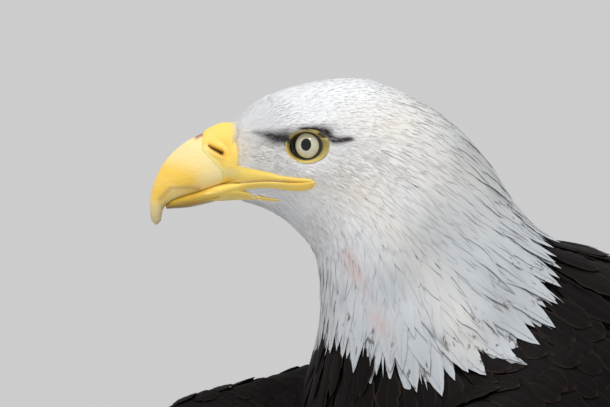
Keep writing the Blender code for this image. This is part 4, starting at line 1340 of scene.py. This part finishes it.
def make_bill(skin_finish, horn_finish):
    steps = 16
    rows = between(BILL_STATIONS, steps)
    bow = [math.exp(-((i / steps - 2) / 0.8) ** 2) for i in range(len(rows))]
    cere_end = 2 * steps
    rings = bill_rows(rows, bow)
    for ring in rings[:cere_end + 3]:
        b, u, s = ring.T
        slit = near_line(b, u, NOSTRIL)
        fold = near_line(b, u, NOSTRIL_FOLD)
        wide = np.interp(b, (-49.5, -43), (0.45, 1.25))
        dent = 2.8 * (1 - smooth(slit, 0.3 * wide, wide)) + 0.5 * bell(fold, 0, 0.5) - 0.45 * bell(slit, 2.2, 0.9)
        dent = dent + 0.35 * bell(near_line(b, u, ((-52, 4.5), (-45, 4.2), (-40, 0.5), (-38.5, -6))), 0, 0.6)
        ring[:, 2] -= np.sign(s) * np.minimum(np.abs(s) * 0.9, dent)
        ring[:, 1] += 1.0 * smooth(b, -52.4, -50.4) * (1 - smooth(b, -43, -37)) * bell(s, 0, 7) * (u > 0)
    tucked = rings[0] * (1, 0.86, 0.86) + (4.0, -0.4, 0)
    cere = [tucked, *rings[:cere_end + 1]]
    cere[-1] = cere[-1] * (1, 1, 0.97)
    shape = loft(place_rings(cere))
    piece = keep("cere_skin", shape, skin_finish, ("cere",))
    cere_marks(piece.data)
    horn = [(ring - (0, -5, 0)) * (1, 0.985, 0.965) + (0, -5, 0) for ring in rings[cere_end - 2:cere_end]]
    horn += [ring * (1, 1, 0.985) for ring in rings[cere_end:]]
    piece = keep("upper_bill", loft(place_rings(horn)), horn_finish, ("bill_upper",))
    bill_marks(piece.data)
    set_mark(piece.data, "lower", np.zeros(len(piece.data.vertices)))
    rows = between(LOWER_BILL_STATIONS, 6)
    piece = keep("lower_bill", loft(place_rings(bill_rows(rows, [0] * len(rows)))), horn_finish,
                 ("bill_lower",))
    bill_marks(piece.data)
    set_mark(piece.data, "lower", np.ones(len(piece.data.vertices)))


# The fleshy edges of the mouth: back, up, half height, how far each stands out, in mm. The upper fold
# is fullest at its lower edge, and the lower fold at its upper.
GAPE_UPPER = ((-50, -19.0, 0.3, -0.4), (-45, -16.2, 2.4, -0.3), (-40.5, -14.2, 3.9, -0.15),
              (-36.5, -13.6, 4.3, 0.3), (-30, -14.0, 3.4, 1.0), (-24, -14.4, 2.6, 1.2), (-18, -15.0, 1.9, 1.3),
              (-13, -15.8, 1.3, 1.3), (-6, -16.6, 1.15, 1.3), (-1, -16.9, 1.25, 1.3), (1.6, -17.0, 1.2, 1.1),
              (3.2, -17.5, 0.8, 0.6))
GAPE_LOWER = ((-51, -23.6, 0.3, -0.4), (-46, -22.2, 1.6, -0.3), (-42, -21.2, 1.8, 0.0), (-38, -20.3, 1.7, 0.6),
              (-30, -19.6, 1.5, 1.1), (-22, -18.9, 1.5, 1.4), (-15, -19.2, 1.7, 1.5), (-8, -19.9, 2.0, 1.6),
              (-2, -19.9, 2.1, 1.7), (1.2, -19.4, 2.0, 1.6), (2.8, -18.9, 1.6, 1.2), (3.9, -18.5, 0.9, 0.6))
CHIN_EDGE = ((-50, -26.0, 0.3, -0.4), (-44, -25.2, 1.8, -0.3), (-39, -24.6, 2.1, 0.3), (-34, -24.3, 2.2, 1.0),
             (-27, -24.9, 1.6, 1.4), (-21, -25.8, 1.0, 1.3), (-14, -26.8, 0.5, 0.9))


def face_side(trees, back, up, way):
    """The outermost of several surfaces where a line from the side meets them, in mm to the side."""
    start = head_point(back, up, 80 * way)
    hits = [tree.ray_cast(start, -SIDE * way)[0] for tree in trees]
    found = [from_eyes([hit])[0][2] * way for hit in hits if hit]
    return max(found) if found else 0.0


FOLD_STEPS, FOLD_AROUND, FOLD_SMOOTHINGS = 5, 20, 4


def fold(rows, way, trees, fuller, around=FOLD_AROUND):
    """A soft fold of skin along the side of the face, fuller toward one edge."""
    rings, sides = [], []
    lines = between(rows, FOLD_STEPS)
    for b, u, half, out in lines:
        sides.append([face_side(trees, b, u + half * math.sin(2 * math.pi * i / around), way)
                      for i in range(around)])
    sides = np.array(sides)
    sides = np.max([sides, np.roll(sides, 1, 0), np.roll(sides, -1, 0)], 0)
    sides[0], sides[-1] = sides[1], sides[-2]
    for _ in range(FOLD_SMOOTHINGS):
        sides[1:-1] = (sides[:-2] + 2 * sides[1:-1] + sides[2:]) / 4
    for (b, u, half, out), side in zip(lines, sides):
        ring = []
        for i in range(around):
            high, proud = math.sin(2 * math.pi * i / around), math.cos(2 * math.pi * i / around)
            weight = (0.35 + 0.65 * (0.5 + 0.5 * fuller * high)) if fuller else 1.0
            soft = 1 + 3 * max(0.0, -fuller * high) if fuller else 2
            off = out * weight * proud ** soft if proud > 0 else 1.2 * proud
            ring.append((b, u + half * high, way * (side[i] + off)))
        rings.append(ring)
    return loft(place_rings(rings))


def make_gape(finish):
    whole = bmesh.new()
    trees = [SKIN["skin"].tree]
    for name in ("cere_skin", "lower_bill"):
        mesh = PIECES[name].data
        trees.append(BVHTree.FromPolygons([v.co for v in mesh.vertices], [p.vertices for p in mesh.polygons]))
    for way in (1, -1):
        for rows, fuller in ((GAPE_UPPER, -1), (GAPE_LOWER, 1), (CHIN_EDGE, 0)):
            part = fold(rows, way, trees, fuller)
            mesh = bpy.data.meshes.new("fold")
            part.to_mesh(mesh)
            part.free()
            whole.from_mesh(mesh)
            bpy.data.meshes.remove(mesh)
    piece = keep("gape_folds", whole, finish)
    cere_marks(piece.data)


# ---------------------------------------------------------------- eyes, lids and brow

GAZE_FORWARD = math.radians(16.5)
# The lids round each eye, from the outer edge in: share of the way out, lift in mm, and share of the way from the
# eyeball to the skin
LID_PROFILE = ((1.10, -1.6, 1), (1.04, -0.2, 1), (0.96, 0.6, 1), (0.86, 1.0, 0.85), (0.72, 1.2, 0.55),
               (0.55, 1.2, 0.28), (0.42, 1.2, 0.08), (0.26, 1.0, 0), (0.12, 0.75, 0), (0.0, 0.35, 0),
               (0.02, -0.8, 0), (0.5, -1.6, 0.3))
# The lid stands out further under the back of the brow: by how many mm, round which angle and how wide
LID_LIFT, LID_LIFT_AT, LID_LIFT_REACH = 3.0, 0.68, 0.42


def make_eye(way, name, radius, finish):
    gaze = (SIDE * way * math.cos(GAZE_FORWARD) - BACK * math.sin(GAZE_FORWARD)).normalized()
    level = UP.cross(gaze).normalized() * way
    ball = bmesh.new()
    bmesh.ops.create_uvsphere(ball, u_segments=64, v_segments=48, radius=radius)
    turn = gaze.to_track_quat("Z", "Y").to_matrix()
    bmesh.ops.rotate(ball, verts=ball.verts, matrix=turn)
    layer = ball.loops.layers.uv.new("iris")
    for face in ball.faces:
        for loop in face.loops:
            p = loop.vert.co / MM
            loop[layer].uv = (p.dot(level) / 20 + 0.5, p.z / 20 + 0.5)
    for vert in ball.verts:
        off = (vert.co - gaze * vert.co.dot(gaze)).length / radius
        if vert.co.dot(gaze) > 0:
            vert.co += gaze * 0.7 * MM * max(0.0, 1 - (off / 0.66) ** 2)
    bmesh.ops.translate(ball, verts=ball.verts, vec=EYES[way])
    keep("eyeball_" + name, ball, finish, ("eye_" + name,))


def make_lids(way, name, finish):
    """The bare ring of skin round an eye: dark at its margin and yellow outside it."""
    skin = SKIN["skin"]
    around = 64
    centre = from_eyes([EYES[way]])[0]
    rings = [[] for _ in LID_PROFILE]
    for i in range(around):
        angle = 2 * math.pi * i / around
        ca, sa = math.cos(angle), math.sin(angle)
        inner = (6.35 * ca - 0.4, 6.3 * sa + 0.2)
        outer_long = 11.0 if ca > 0 else 10.8
        outer = (outer_long * ca, (8.4 if sa < 0 else 8.6) * sa)
        under_brow = LID_LIFT * math.exp(-((angle - LID_LIFT_AT) / LID_LIFT_REACH) ** 2)
        for ring, (share, lift, to_skin) in zip(rings, LID_PROFILE):
            b = inner[0] + (outer[0] - inner[0]) * share
            u = inner[1] + (outer[1] - inner[1]) * share
            db, du = b - centre[0], u - centre[1]
            ball = abs(centre[2]) + math.sqrt(max(10.0 ** 2 - db * db - du * du, 4.0))
            far = abs(skin.side_at(outer[0], outer[1], way))
            ring.append((b, u, way * (ball + (far - ball) * to_skin + lift + under_brow * min(1.0, share * 1.4))))
    shape = loft(place_rings(rings))
    bmesh.ops.delete(shape, geom=[f for f in shape.faces if len(f.verts) > 4], context="FACES_ONLY")
    edges = [e for e in shape.edges if e.is_boundary]
    bmesh.ops.bridge_loops(shape, edges=edges)
    bmesh.ops.recalc_face_normals(shape, faces=shape.faces)
    piece = keep("lids_" + name, shape, finish)
    mesh = piece.data
    b, u, s = from_eyes(points_of(mesh)).T
    from_inner = np.hypot((b + 0.4) / 8.25, (u - 0.2) / 6.9)
    rim = 1 - smooth(from_inner, 0.98, 1.08)
    set_mark(mesh, "rim", rim)
    set_mark(mesh, "orange", 0.6 * bell(b, -6, 5) * smooth(u, 4, 8))
    set_mark(mesh, "pale", 0.5 * np.ones(len(b)))
    set_mark(mesh, "olive", 0.35 + 0.45 * smooth(b, 0, 9))
    set_mark(mesh, "hollow", np.zeros(len(b)))


# ---------------------------------------------------------------- legs and feet

FOOT_SPREAD, FOOT_BALL_Y, SHANK_TOP_Y = 64.0, -95.4, -76.4
BALL_RADIUS, BALL_HEIGHT, SOLE = 17.5, 12.0, 0.88
SHANK_ROWS = ((0.0, 8.2, 9.6, 96.0), (0.0, 8.2, 9.6, 77.7), (0.35, 7.4, 8.6, 58.9), (0.65, 7.6, 8.8, 42.8),
              (0.85, 10.5, 11.5, 32.1))
TOES = (("inner", -46.0, 50.0, 7.2, 36.0), ("middle", 0.0, 68.0, 7.2, 32.0),
        ("outer", 46.0, 56.0, 6.6, 27.0), ("hind", 176.0, 34.0, 7.4, 38.0))
CLAW_START, CLAW_END = math.radians(20), math.radians(-60)


def make_shank(way, name, finish):
    rows = []
    for share, half_x, half_y, z in SHANK_ROWS:
        rows.append((SHANK_TOP_Y + (FOOT_BALL_Y - SHANK_TOP_Y) * share, z, half_x, half_y))
    for lift in (0.55, 0.0, -0.55, -SOLE):
        r = BALL_RADIUS * math.sqrt(1 - lift * lift)
        rows.append((FOOT_BALL_Y, BALL_HEIGHT * (1 + lift / SOLE), r, r))
    rings, hollows = [], []
    around = 36
    for y, z, half_x, half_y in between(rows, 14):
        ring = []
        for i in range(around):
            angle = 2 * math.pi * i / around
            front = max(0.0, -math.sin(angle)) ** 0.7
            plates = abs(math.sin(math.pi * z / 5.2)) ** 0.5 - 0.6
            swell = 1 + 0.035 * front * plates * min(1, z / 20) * (z < 75)
            ring.append(Vector((way * FOOT_SPREAD + half_x * math.cos(angle) * swell,
                                y + half_y * math.sin(angle) * swell, max(z, 0.0))) * MM)
            hollows.append(front * (1 - min(1, (plates + 0.6) * 1.4)) * (14 < z < 75))
        rings.append(ring)
    piece = keep("shank_scales_" + name, loft(rings), finish, ("shank_" + name,))
    set_mark(piece.data, "hollow", hollows)


def toe_path(length, radius, claw_length):
    """Rows of a toe from root to end: ahead, height, girth, in mm, and where the claw's root is."""
    arc = claw_length / (CLAW_START - CLAW_END)
    drop = arc * (math.cos(CLAW_START) - math.cos(CLAW_END))
    tip_height = drop + 0.8
    rows = []
    for k in range(43):
        t = k / 42
        girth = radius * (1 - 0.22 * t) * (1 + 0.07 * math.cos(6 * math.pi * t))
        rise = max(0.0, (t - 0.62) / 0.38) ** 1.6
        low = girth - 0.9
        rows.append((BALL_RADIUS + 0.75 + length * t, low + (tip_height - low) * rise, girth))
    return rows, tip_height, arc


def make_toe(way, name, toe, skin_finish, claw_finish):
    title, heading, length, radius, claw_length = toe
    angle = math.radians(heading + 10.0)
    ahead = Vector((way * math.sin(angle), -math.cos(angle), 0.0))
    wide = Vector((-ahead.y, ahead.x, 0.0))
    ball = Vector((way * FOOT_SPREAD, FOOT_BALL_Y, 0.0))
    rows, tip_height, arc = toe_path(length, radius, claw_length)
    rings, hollows = [], []
    around = 24
    for forward, height, girth in [(rows[0][0] - 7.0, rows[0][1], rows[0][2] * 0.9)] + rows:
        ring = []
        for i in range(around):
            a = 2 * math.pi * (i + 0.5) / around
            top = max(0.0, math.sin(a)) ** 0.6
            plate = abs(math.sin(math.pi * forward / 4.6)) ** 0.5 - 0.6
            swell = 1 + 0.045 * top * plate
            pad = 1 + 0.05 * max(0.0, -math.sin(a)) * math.cos(2 * math.pi * forward / 9.0)
            p = ball + ahead * forward + wide * girth * 0.98 * math.cos(a) * swell
            p.z = max(0.0, height + girth * math.sin(a) * swell * pad)
            ring.append(p * MM)
            hollows.append(top * (1 - min(1, (plate + 0.6) * 1.4)))
        rings.append(ring)
    end = rings[-1]
    mid = sum(end, Vector()) / around
    for share, forward in ((0.85, 1.2), (0.55, 2.0)):
        rings.append([mid + (p - mid) * share + ahead * forward * MM for p in end])
        hollows += [0.0] * around
    piece = keep(f"toe_scales_{name}_{title}", loft(rings), skin_finish,
                 (f"toe_{name}_{title}",))
    set_mark(piece.data, "hollow", hollows)
    rings = []
    root = ball + ahead * (BALL_RADIUS + 0.75 + length + 0.3)
    for k in range(22):
        share = k / 21
        tip = CLAW_START + (CLAW_END - CLAW_START) * share
        forward, up = arc * (math.sin(CLAW_START) - math.sin(tip)), arc * (math.cos(tip) - math.cos(CLAW_START))
        girth = 4.9 * (1 - 0.93 * share ** 1.25)
        high = ahead * -math.sin(tip) + Vector((0, 0, math.cos(tip)))
        place = root + ahead * (forward - (1.5 if k == 0 else 0)) + Vector((0, 0, tip_height + up))
        ring = []
        for i in range(20):
            a = 2 * math.pi * (i + 0.5) / 20
            groove = 1 - 0.10 * math.exp(-((math.sin(a) + 0.9) / 0.25) ** 2)
            p = place + wide * girth * 0.80 * math.cos(a) * groove + high * girth * math.sin(a)
            p.z = max(0.3, p.z)
            ring.append(p * MM)
        rings.append(ring)
    keep(f"claw_horn_{name}_{title}", loft(rings), claw_finish, (f"claw_{name}_{title}",))


# ---------------------------------------------------------------- the sizes and colours a user may change

def colour_property(name, description, screen):
    return bpy.props.FloatVectorProperty(name=name, description=description, subtype="COLOR", size=4,
                                         min=0.0, max=1.0, default=paint(*screen))


class EagleSizes(bpy.types.PropertyGroup):
    skin_detail: bpy.props.FloatProperty(name="Skin detail", description="Distance between the skin's points",
                                         default=0.0033, unit="LENGTH")
    eye_radius: bpy.props.FloatProperty(name="Eye radius", description="Radius of each eyeball",
                                        default=0.010, unit="LENGTH")
    camera_distance: bpy.props.FloatProperty(name="Camera distance", description="From the camera to the neck",
                                             default=2.5, unit="LENGTH")
    view_width: bpy.props.FloatProperty(name="View width", description="What the view takes in at the neck",
                                        default=0.305, unit="LENGTH")
    coverage: bpy.props.FloatProperty(name="Feather cover", description="How many feathers lie over one another",
                                      default=1.0, min=0.2, max=2.0)


class EagleColours(bpy.types.PropertyGroup):
    white: colour_property("White", "White feathers of the head, neck and tail", (238, 240, 243))
    cream: colour_property("Cream", "Cream tinge of the head", (238, 226, 206))
    grey: colour_property("Grey", "Fine feathers before the eye", (228, 227, 223))
    # Painted shade of the white feathers low on the neck
    cool_white: colour_property("Cool white", "White feathers low on the neck", (176, 182, 187))
    speck: colour_property("Specks", "Brown specks at the white border", (70, 56, 48))
    stain: colour_property("Stain", "Faint pink stain on the neck", (206, 160, 152))
    umber: colour_property("Umber", "Shaded brown between white feathers", (146, 130, 116))
    # Dark bristles of the brow, and painted shade under the brow and behind the eye
    soot: colour_property("Soot", "Dark bristles of the brow", (44, 38, 40))
    down_white: colour_property("White down", "Skin under white feathers", (236, 234, 232))
    down_dark: colour_property("Dark down", "Skin under dark feathers", (16, 13, 13))
    dark: colour_property("Dark", "Dark feathers of the body", (10, 8, 9))
    dark_brown: colour_property("Dark brown", "Worn dark feathers", (21, 16, 15))
    edge_brown: colour_property("Edge brown", "Paler edges of body feathers", (65, 51, 42))
    shaft: colour_property("Shaft", "Shafts of dark feathers", (48, 38, 33))
    yellow_skin: colour_property("Yellow skin", "Bare skin of cere, gape and feet", (253, 217, 106))
    orange_skin: colour_property("Orange skin", "Deeper yellow round the nostril", (246, 190, 58))
    pale_skin: colour_property("Pale skin", "Pale yellow of lids and folds", (249, 238, 170))
    # Painted shade inside the nostril
    nostril: colour_property("Nostril", "Inside of the nostril", (92, 46, 10))
    lid_olive: colour_property("Olive lids", "Dull yellow of the lids", (150, 140, 84))
    lid_dark: colour_property("Lid margin", "Dark margin of the lids", (34, 26, 20))
    horn_peach: colour_property("Peach horn", "Upper side of the bill", (253, 230, 164))
    horn_gold: colour_property("Gold horn", "Lower side of the bill", (250, 206, 84))
    # Also a faint patch of painted sheen on the bill's side
    horn_clear: colour_property("Clear horn", "Tip and cutting edge of the bill", (214, 198, 146))
    horn_grey: colour_property("Grey horn", "Worn fold above the cutting edge", (184, 162, 92))
    # Lower bill's yellow with painted shade under the upper bill
    mandible: colour_property("Lower bill", "Lower bill's side", (214, 174, 54))
    # Painted shade along the lower bill's underside
    horn_brown: colour_property("Brown horn", "Under edge of the lower bill", (94, 66, 24))
    scar: colour_property("Scar", "Mark on the bill's ridge", (150, 78, 72))
    iris: colour_property("Iris", "Pale iris", (222, 218, 196))
    iris_deep: colour_property("Iris edge", "Deeper edge of the iris", (186, 180, 140))
    pupil: colour_property("Pupil", "Pupil", (8, 10, 18))
    scale_gap: colour_property("Scale gaps", "Between the scales of the feet", (170, 124, 44))
    claw: colour_property("Claw", "Black claws", (20, 19, 21))
    claw_grey: colour_property("Worn claw", "Worn grey of the claws", (62, 58, 58))
    floor: colour_property("Floor", "Pale floor and surroundings", (212, 212, 212))


def chosen(context):
    """The user's sizes, and the colours by name as plain numbers."""
    colours = context.scene.eagle_colours
    return context.scene.eagle_sizes, {k: tuple(getattr(colours, k)) for k in EagleColours.__annotations__}


FINISHES = {}


def finish_of(maker, colours):
    """One material for each finish, made when it is first asked for."""
    if maker.__name__ not in FINISHES:
        FINISHES[maker.__name__] = maker(colours)
    return FINISHES[maker.__name__]


# ---------------------------------------------------------------- operators

class EAGLE_OT_skin(bpy.types.Operator):
    """Make the bird's skin, one surface that lies under all the feathers"""
    bl_idname = "eagle.skin"
    bl_label = "Skin"

    def execute(self, context):
        sizes, colours = chosen(context)
        make_skin(sizes.skin_detail, colours)
        return {"FINISHED"}


class EAGLE_OT_bill(bpy.types.Operator):
    """Make the cere, the bill and the folds of the gape"""
    bl_idname = "eagle.bill"
    bl_label = "Bill"

    def execute(self, context):
        colours = chosen(context)[1]
        make_bill(finish_of(bare_skin, colours), finish_of(bill_horn, colours))
        make_gape(finish_of(bare_skin, colours))
        return {"FINISHED"}


class EAGLE_OT_eyes(bpy.types.Operator):
    """Make the eyeballs and the lids"""
    bl_idname = "eagle.eyes"
    bl_label = "Eyes"

    def execute(self, context):
        sizes, colours = chosen(context)
        for way, name in SIDES.items():
            make_eye(way, name, sizes.eye_radius, finish_of(eye_finish, colours))
            make_lids(way, name, finish_of(bare_skin, colours))
        return {"FINISHED"}


class EAGLE_OT_head_feathers(bpy.types.Operator):
    """Grow the white feathers of the face, head and neck"""
    bl_idname = "eagle.head_feathers"
    bl_label = "Head feathers"

    def execute(self, context):
        sizes, colours = chosen(context)
        white, more = finish_of(white_plumage, colours), sizes.coverage
        coat("face_bristles", [
            dict(where=face_zone, cover=8.0 * more, rings=4, camber=0.2, ragged=0.1, yaw=0.12, rise=1.1,
                 widest=0.25, blunt=1.3),
            dict(where=face_zone, cover=1.5 * more, rings=4, wide=2.1, camber=0.3, ragged=0.1, yaw=0.16, rise=1.5,
                 widest=0.25, blunt=1.3),
        ], TRUNK_LINE, white, seed=1)
        coat("head_plumes", [
            dict(where=head_zone, cover=15.0 * more, rings=5, camber=0.12, ragged=0.2, yaw=0.07, widest=0.45,
                 blunt=2.4, wide=1.6, rise=0.85, loose=0.08),
        ], TRUNK_LINE, white, seed=2)
        coat("head_barbs", [
            dict(where=head_zone, cover=6.0 * more, rings=5, wide=0.40, camber=0.15, rise=0.95, yaw=0.07,
                 loose=0.05),
        ], TRUNK_LINE, white, seed=12)
        coat("neck_hackles", [
            dict(where=neck_zone, cover=14.0 * more, rings=9, columns=5, camber=0.08, ragged=0.2, yaw=0.05,
                 widest=0.38, blunt=1.8, wide=1.4, rise=0.72, loose=0.03, most=2.6),
        ], TRUNK_LINE, white, seed=3)
        for side, name in SIDES.items():
            coat("neck_barbs_" + name, [
                dict(where=one_side(neck_zone, side), cover=9.0 * more, rings=7, strands=9, wide=1.1, camber=0.1,
                     ragged=0.1, rise=0.92, yaw=0.05, widest=0.35, blunt=1.6, loose=0.02, most=2.8, gather=0.9),
            ], TRUNK_LINE, white, seed=13 + side)
        coat("border_hackles", [
            dict(where=border_zone, cover=6.0 * more, rings=12, columns=5, wide=1.5, camber=0.08, spread=0.1,
                 ragged=0.25, yaw=0.07, rise=1.05, widest=0.32, blunt=1.5, loose=0.1, most=2.8),
            dict(where=border_zone, cover=7.0 * more, rings=9, strands=9, wide=1.7, spread=0.1, camber=0.2,
                 ragged=0.1, rise=1.2, yaw=0.12, widest=0.35, blunt=1.4, most=2.8, gather=0.8),
            dict(roots=hackle_roots, length=HACKLE_LENGTH, rings=12, columns=7, wide=2.3, spread=0.03, camber=0.06,
                 ragged=0.16, yaw=0.0, rise=1.15, widest=0.42, blunt=1.35, most=2.8, loose=0.03),
            dict(roots=hackle_roots, length=HACKLE_LENGTH, rings=12, strands=21, wide=2.3, spread=0.03, camber=0.2,
                 ragged=0.1, yaw=0.0, rise=1.3, widest=0.35, blunt=1.4, most=2.8, gather=0.95, loose=0.03),
        ], TRUNK_LINE, white, seed=4)
        tufts("face_tufts", FACE_TUFTS, white, 0.0, 21)
        tufts("brow_bristles", BROW_BRISTLES, white, 1.0, 22)
        return {"FINISHED"}


class EAGLE_OT_body_feathers(bpy.types.Operator):
    """Grow the dark feathers of the breast, back and thighs, and the white ones over the tail's root"""
    bl_idname = "eagle.body_feathers"
    bl_label = "Body feathers"

    def execute(self, context):
        sizes, colours = chosen(context)
        dark, more = finish_of(dark_plumage, colours), sizes.coverage
        lance = dict(rings=12, columns=7, camber=0.10, ragged=0.22, yaw=0.08, widest=0.45, blunt=2.2)
        round_ = dict(rings=12, columns=7, camber=0.09, ragged=0.14, yaw=0.06, widest=0.55, blunt=3.0)
        wisps = dict(rings=6, wide=0.12, camber=0.4, yaw=0.14, cover=0.9 * more, rise=1.06)
        coat("breast_feathers", [dict(where=breast_zone, cover=7.0 * more, **lance),
                                 dict(where=breast_zone, **wisps)], TRUNK_LINE, dark, seed=5)
        coat("back_feathers", [dict(where=back_zone, cover=7.0 * more, **round_),
                               dict(where=back_zone, **wisps)], TRUNK_LINE, dark, seed=6)
        coat("tail_coverts", [dict(where=covert_zone, cover=6.0 * more, **round_)], TRUNK_LINE,
             finish_of(tail_plumage, colours), seed=7)
        for way, name in SIDES.items():
            coat("thigh_feathers_" + name, [dict(where=thigh_zone(way), cover=7.0 * more, **lance),
                                            dict(where=thigh_zone(way), **wisps)],
                 limb_line(way, True), dark, seed=8 + way)
        return {"FINISHED"}


class EAGLE_OT_wings(bpy.types.Operator):
    """Lay the wings' coverts and the flight feathers"""
    bl_idname = "eagle.wings"
    bl_label = "Wings"

    def execute(self, context):
        sizes, colours = chosen(context)
        dark = finish_of(dark_plumage, colours)
        round_ = dict(rings=12, columns=7, camber=0.08, ragged=0.12, yaw=0.04, widest=0.55, blunt=3.2)
        for way, name in SIDES.items():
            coat("wing_coverts_" + name, [dict(where=wing_zone(way), cover=8.0 * sizes.coverage, **round_)],
                 limb_line(way, False), dark, seed=12 + way)
            vanes_made = flight_feathers(way)
            mesh = joined("flight", [vanes_made], [unwrap(vanes_made[0][:, 0, 4], limb_line(way, False))])
            keep("flight_vanes_" + name, mesh, dark, ("flight_feathers_" + name,))
        return {"FINISHED"}


class EAGLE_OT_tail(bpy.types.Operator):
    """Lay the twelve tail feathers, as seen from above and from below"""
    bl_idname = "eagle.tail"
    bl_label = "Tail"

    def execute(self, context):
        colours = chosen(context)[1]
        sets = [tail_feathers(under) for under in (0, 1)]
        mesh = joined("tail", sets, [unwrap(s[0][:, 0, 4], TRUNK_LINE) for s in sets])
        keep("tail_vanes", mesh, finish_of(tail_plumage, colours), ("tail",))
        return {"FINISHED"}


class EAGLE_OT_feet(bpy.types.Operator):
    """Make the scaled shanks and toes, and the claws"""
    bl_idname = "eagle.feet"
    bl_label = "Feet"

    def execute(self, context):
        colours = chosen(context)[1]
        for way, name in SIDES.items():
            make_shank(way, name, finish_of(scaled_skin, colours))
            for toe in TOES:
                make_toe(way, name, toe, finish_of(scaled_skin, colours), finish_of(claw_horn, colours))
        return {"FINISHED"}


WORLD_LIGHT = 0.92
# Each lamp: name, place from the head in metres (side, back, up), width, power in watts
LAMPS = (
    ("key", (0.95, -0.20, 2.40), 1.0, 26.5),
    ("glint", (1.19, -0.18, 1.34), 0.26, 8.0),
)


class EAGLE_OT_stage(bpy.types.Operator):
    """Make the floor, the lights and the camera"""
    bl_idname = "eagle.stage"
    bl_label = "Stage"

    def execute(self, context):
        sizes, colours = chosen(context)
        scene = context.scene
        scene.view_settings.view_transform = "Standard"
        shape = bmesh.new()
        bmesh.ops.create_circle(shape, cap_ends=True, segments=96, radius=60.0)
        mesh = bpy.data.meshes.new("floor")
        shape.to_mesh(mesh)
        shape.free()
        floor = bpy.data.objects.new("floor", mesh)
        scene.collection.objects.link(floor)
        f = Finish("pale_floor", Roughness=0.9)
        f.shader.inputs["Base Color"].default_value = colours["floor"]
        x, y, z = f.axes()
        glow = f.node("ShaderNodeEmission", sockets={"Color": colours["floor"], "Strength": WORLD_LIGHT})
        both = f.node("ShaderNodeMixShader", sockets={
            0: ((x * x + y * y) ** 0.5).step(0.7, 4.0),
            1: Shade(f, f.shader.outputs[0]), 2: glow})
        f.tree.links.new(both.socket, f.tree.nodes["Material Output"].inputs["Surface"])
        mesh.materials.append(f.material)

        world = bpy.data.worlds.new("studio")
        scene.world = world
        world.use_nodes = True
        background = world.node_tree.nodes["Background"]
        background.inputs["Color"].default_value = colours["floor"]
        background.inputs["Strength"].default_value = WORLD_LIGHT

        aim = head_point(-1, -28.25, 0)
        for name, place, width, power in LAMPS:
            lamp = bpy.data.lights.new(name, "AREA")
            lamp.shape, lamp.size, lamp.energy = "DISK", width, power
            made = bpy.data.objects.new(name, lamp)
            offset = place[0] * SIDE + place[1] * BACK + place[2] * UP
            made.location = aim + offset
            made.rotation_mode = "QUATERNION"
            made.rotation_quaternion = (-offset).to_track_quat("-Z", "Y")
            made.visible_camera = False
            scene.collection.objects.link(made)

        camera = bpy.data.cameras.new("camera")
        camera.lens = camera.sensor_width * sizes.camera_distance / sizes.view_width
        made = bpy.data.objects.new("camera", camera)
        made.location = aim + SIDE * sizes.camera_distance
        made.rotation_mode = "QUATERNION"
        made.rotation_quaternion = (-SIDE).to_track_quat("-Z", "Y")
        camera.clip_start, camera.clip_end = 0.1, 200.0
        scene.collection.objects.link(made)
        scene.camera = made
        return {"FINISHED"}


class EAGLE_PT_panel(bpy.types.Panel):
    bl_label = "Bald eagle"
    bl_space_type = "VIEW_3D"
    bl_region_type = "UI"
    bl_category = "Eagle"

    def draw(self, context):
        for name in EagleSizes.__annotations__:
            self.layout.prop(context.scene.eagle_sizes, name)
        for name in EagleColours.__annotations__:
            self.layout.prop(context.scene.eagle_colours, name)
        for operator in OPERATORS:
            self.layout.operator(operator.bl_idname)


OPERATORS = (EAGLE_OT_skin, EAGLE_OT_bill, EAGLE_OT_eyes, EAGLE_OT_head_feathers, EAGLE_OT_body_feathers,
             EAGLE_OT_wings, EAGLE_OT_tail, EAGLE_OT_feet, EAGLE_OT_stage)
CLASSES = (EagleSizes, EagleColours) + OPERATORS + (EAGLE_PT_panel,)


def register():
    for made in CLASSES:
        bpy.utils.register_class(made)
    bpy.types.Scene.eagle_sizes = bpy.props.PointerProperty(type=EagleSizes)
    bpy.types.Scene.eagle_colours = bpy.props.PointerProperty(type=EagleColours)


def unregister():
    del bpy.types.Scene.eagle_sizes, bpy.types.Scene.eagle_colours
    for made in reversed(CLASSES):
        bpy.utils.unregister_class(made)


def main():
    register()
    bpy.ops.eagle.skin()
    bpy.ops.eagle.bill()
    bpy.ops.eagle.eyes()
    bpy.ops.eagle.head_feathers()
    bpy.ops.eagle.body_feathers()
    bpy.ops.eagle.wings()
    bpy.ops.eagle.tail()
    bpy.ops.eagle.feet()
    bpy.ops.eagle.stage()


if __name__ == "__main__":
    main()
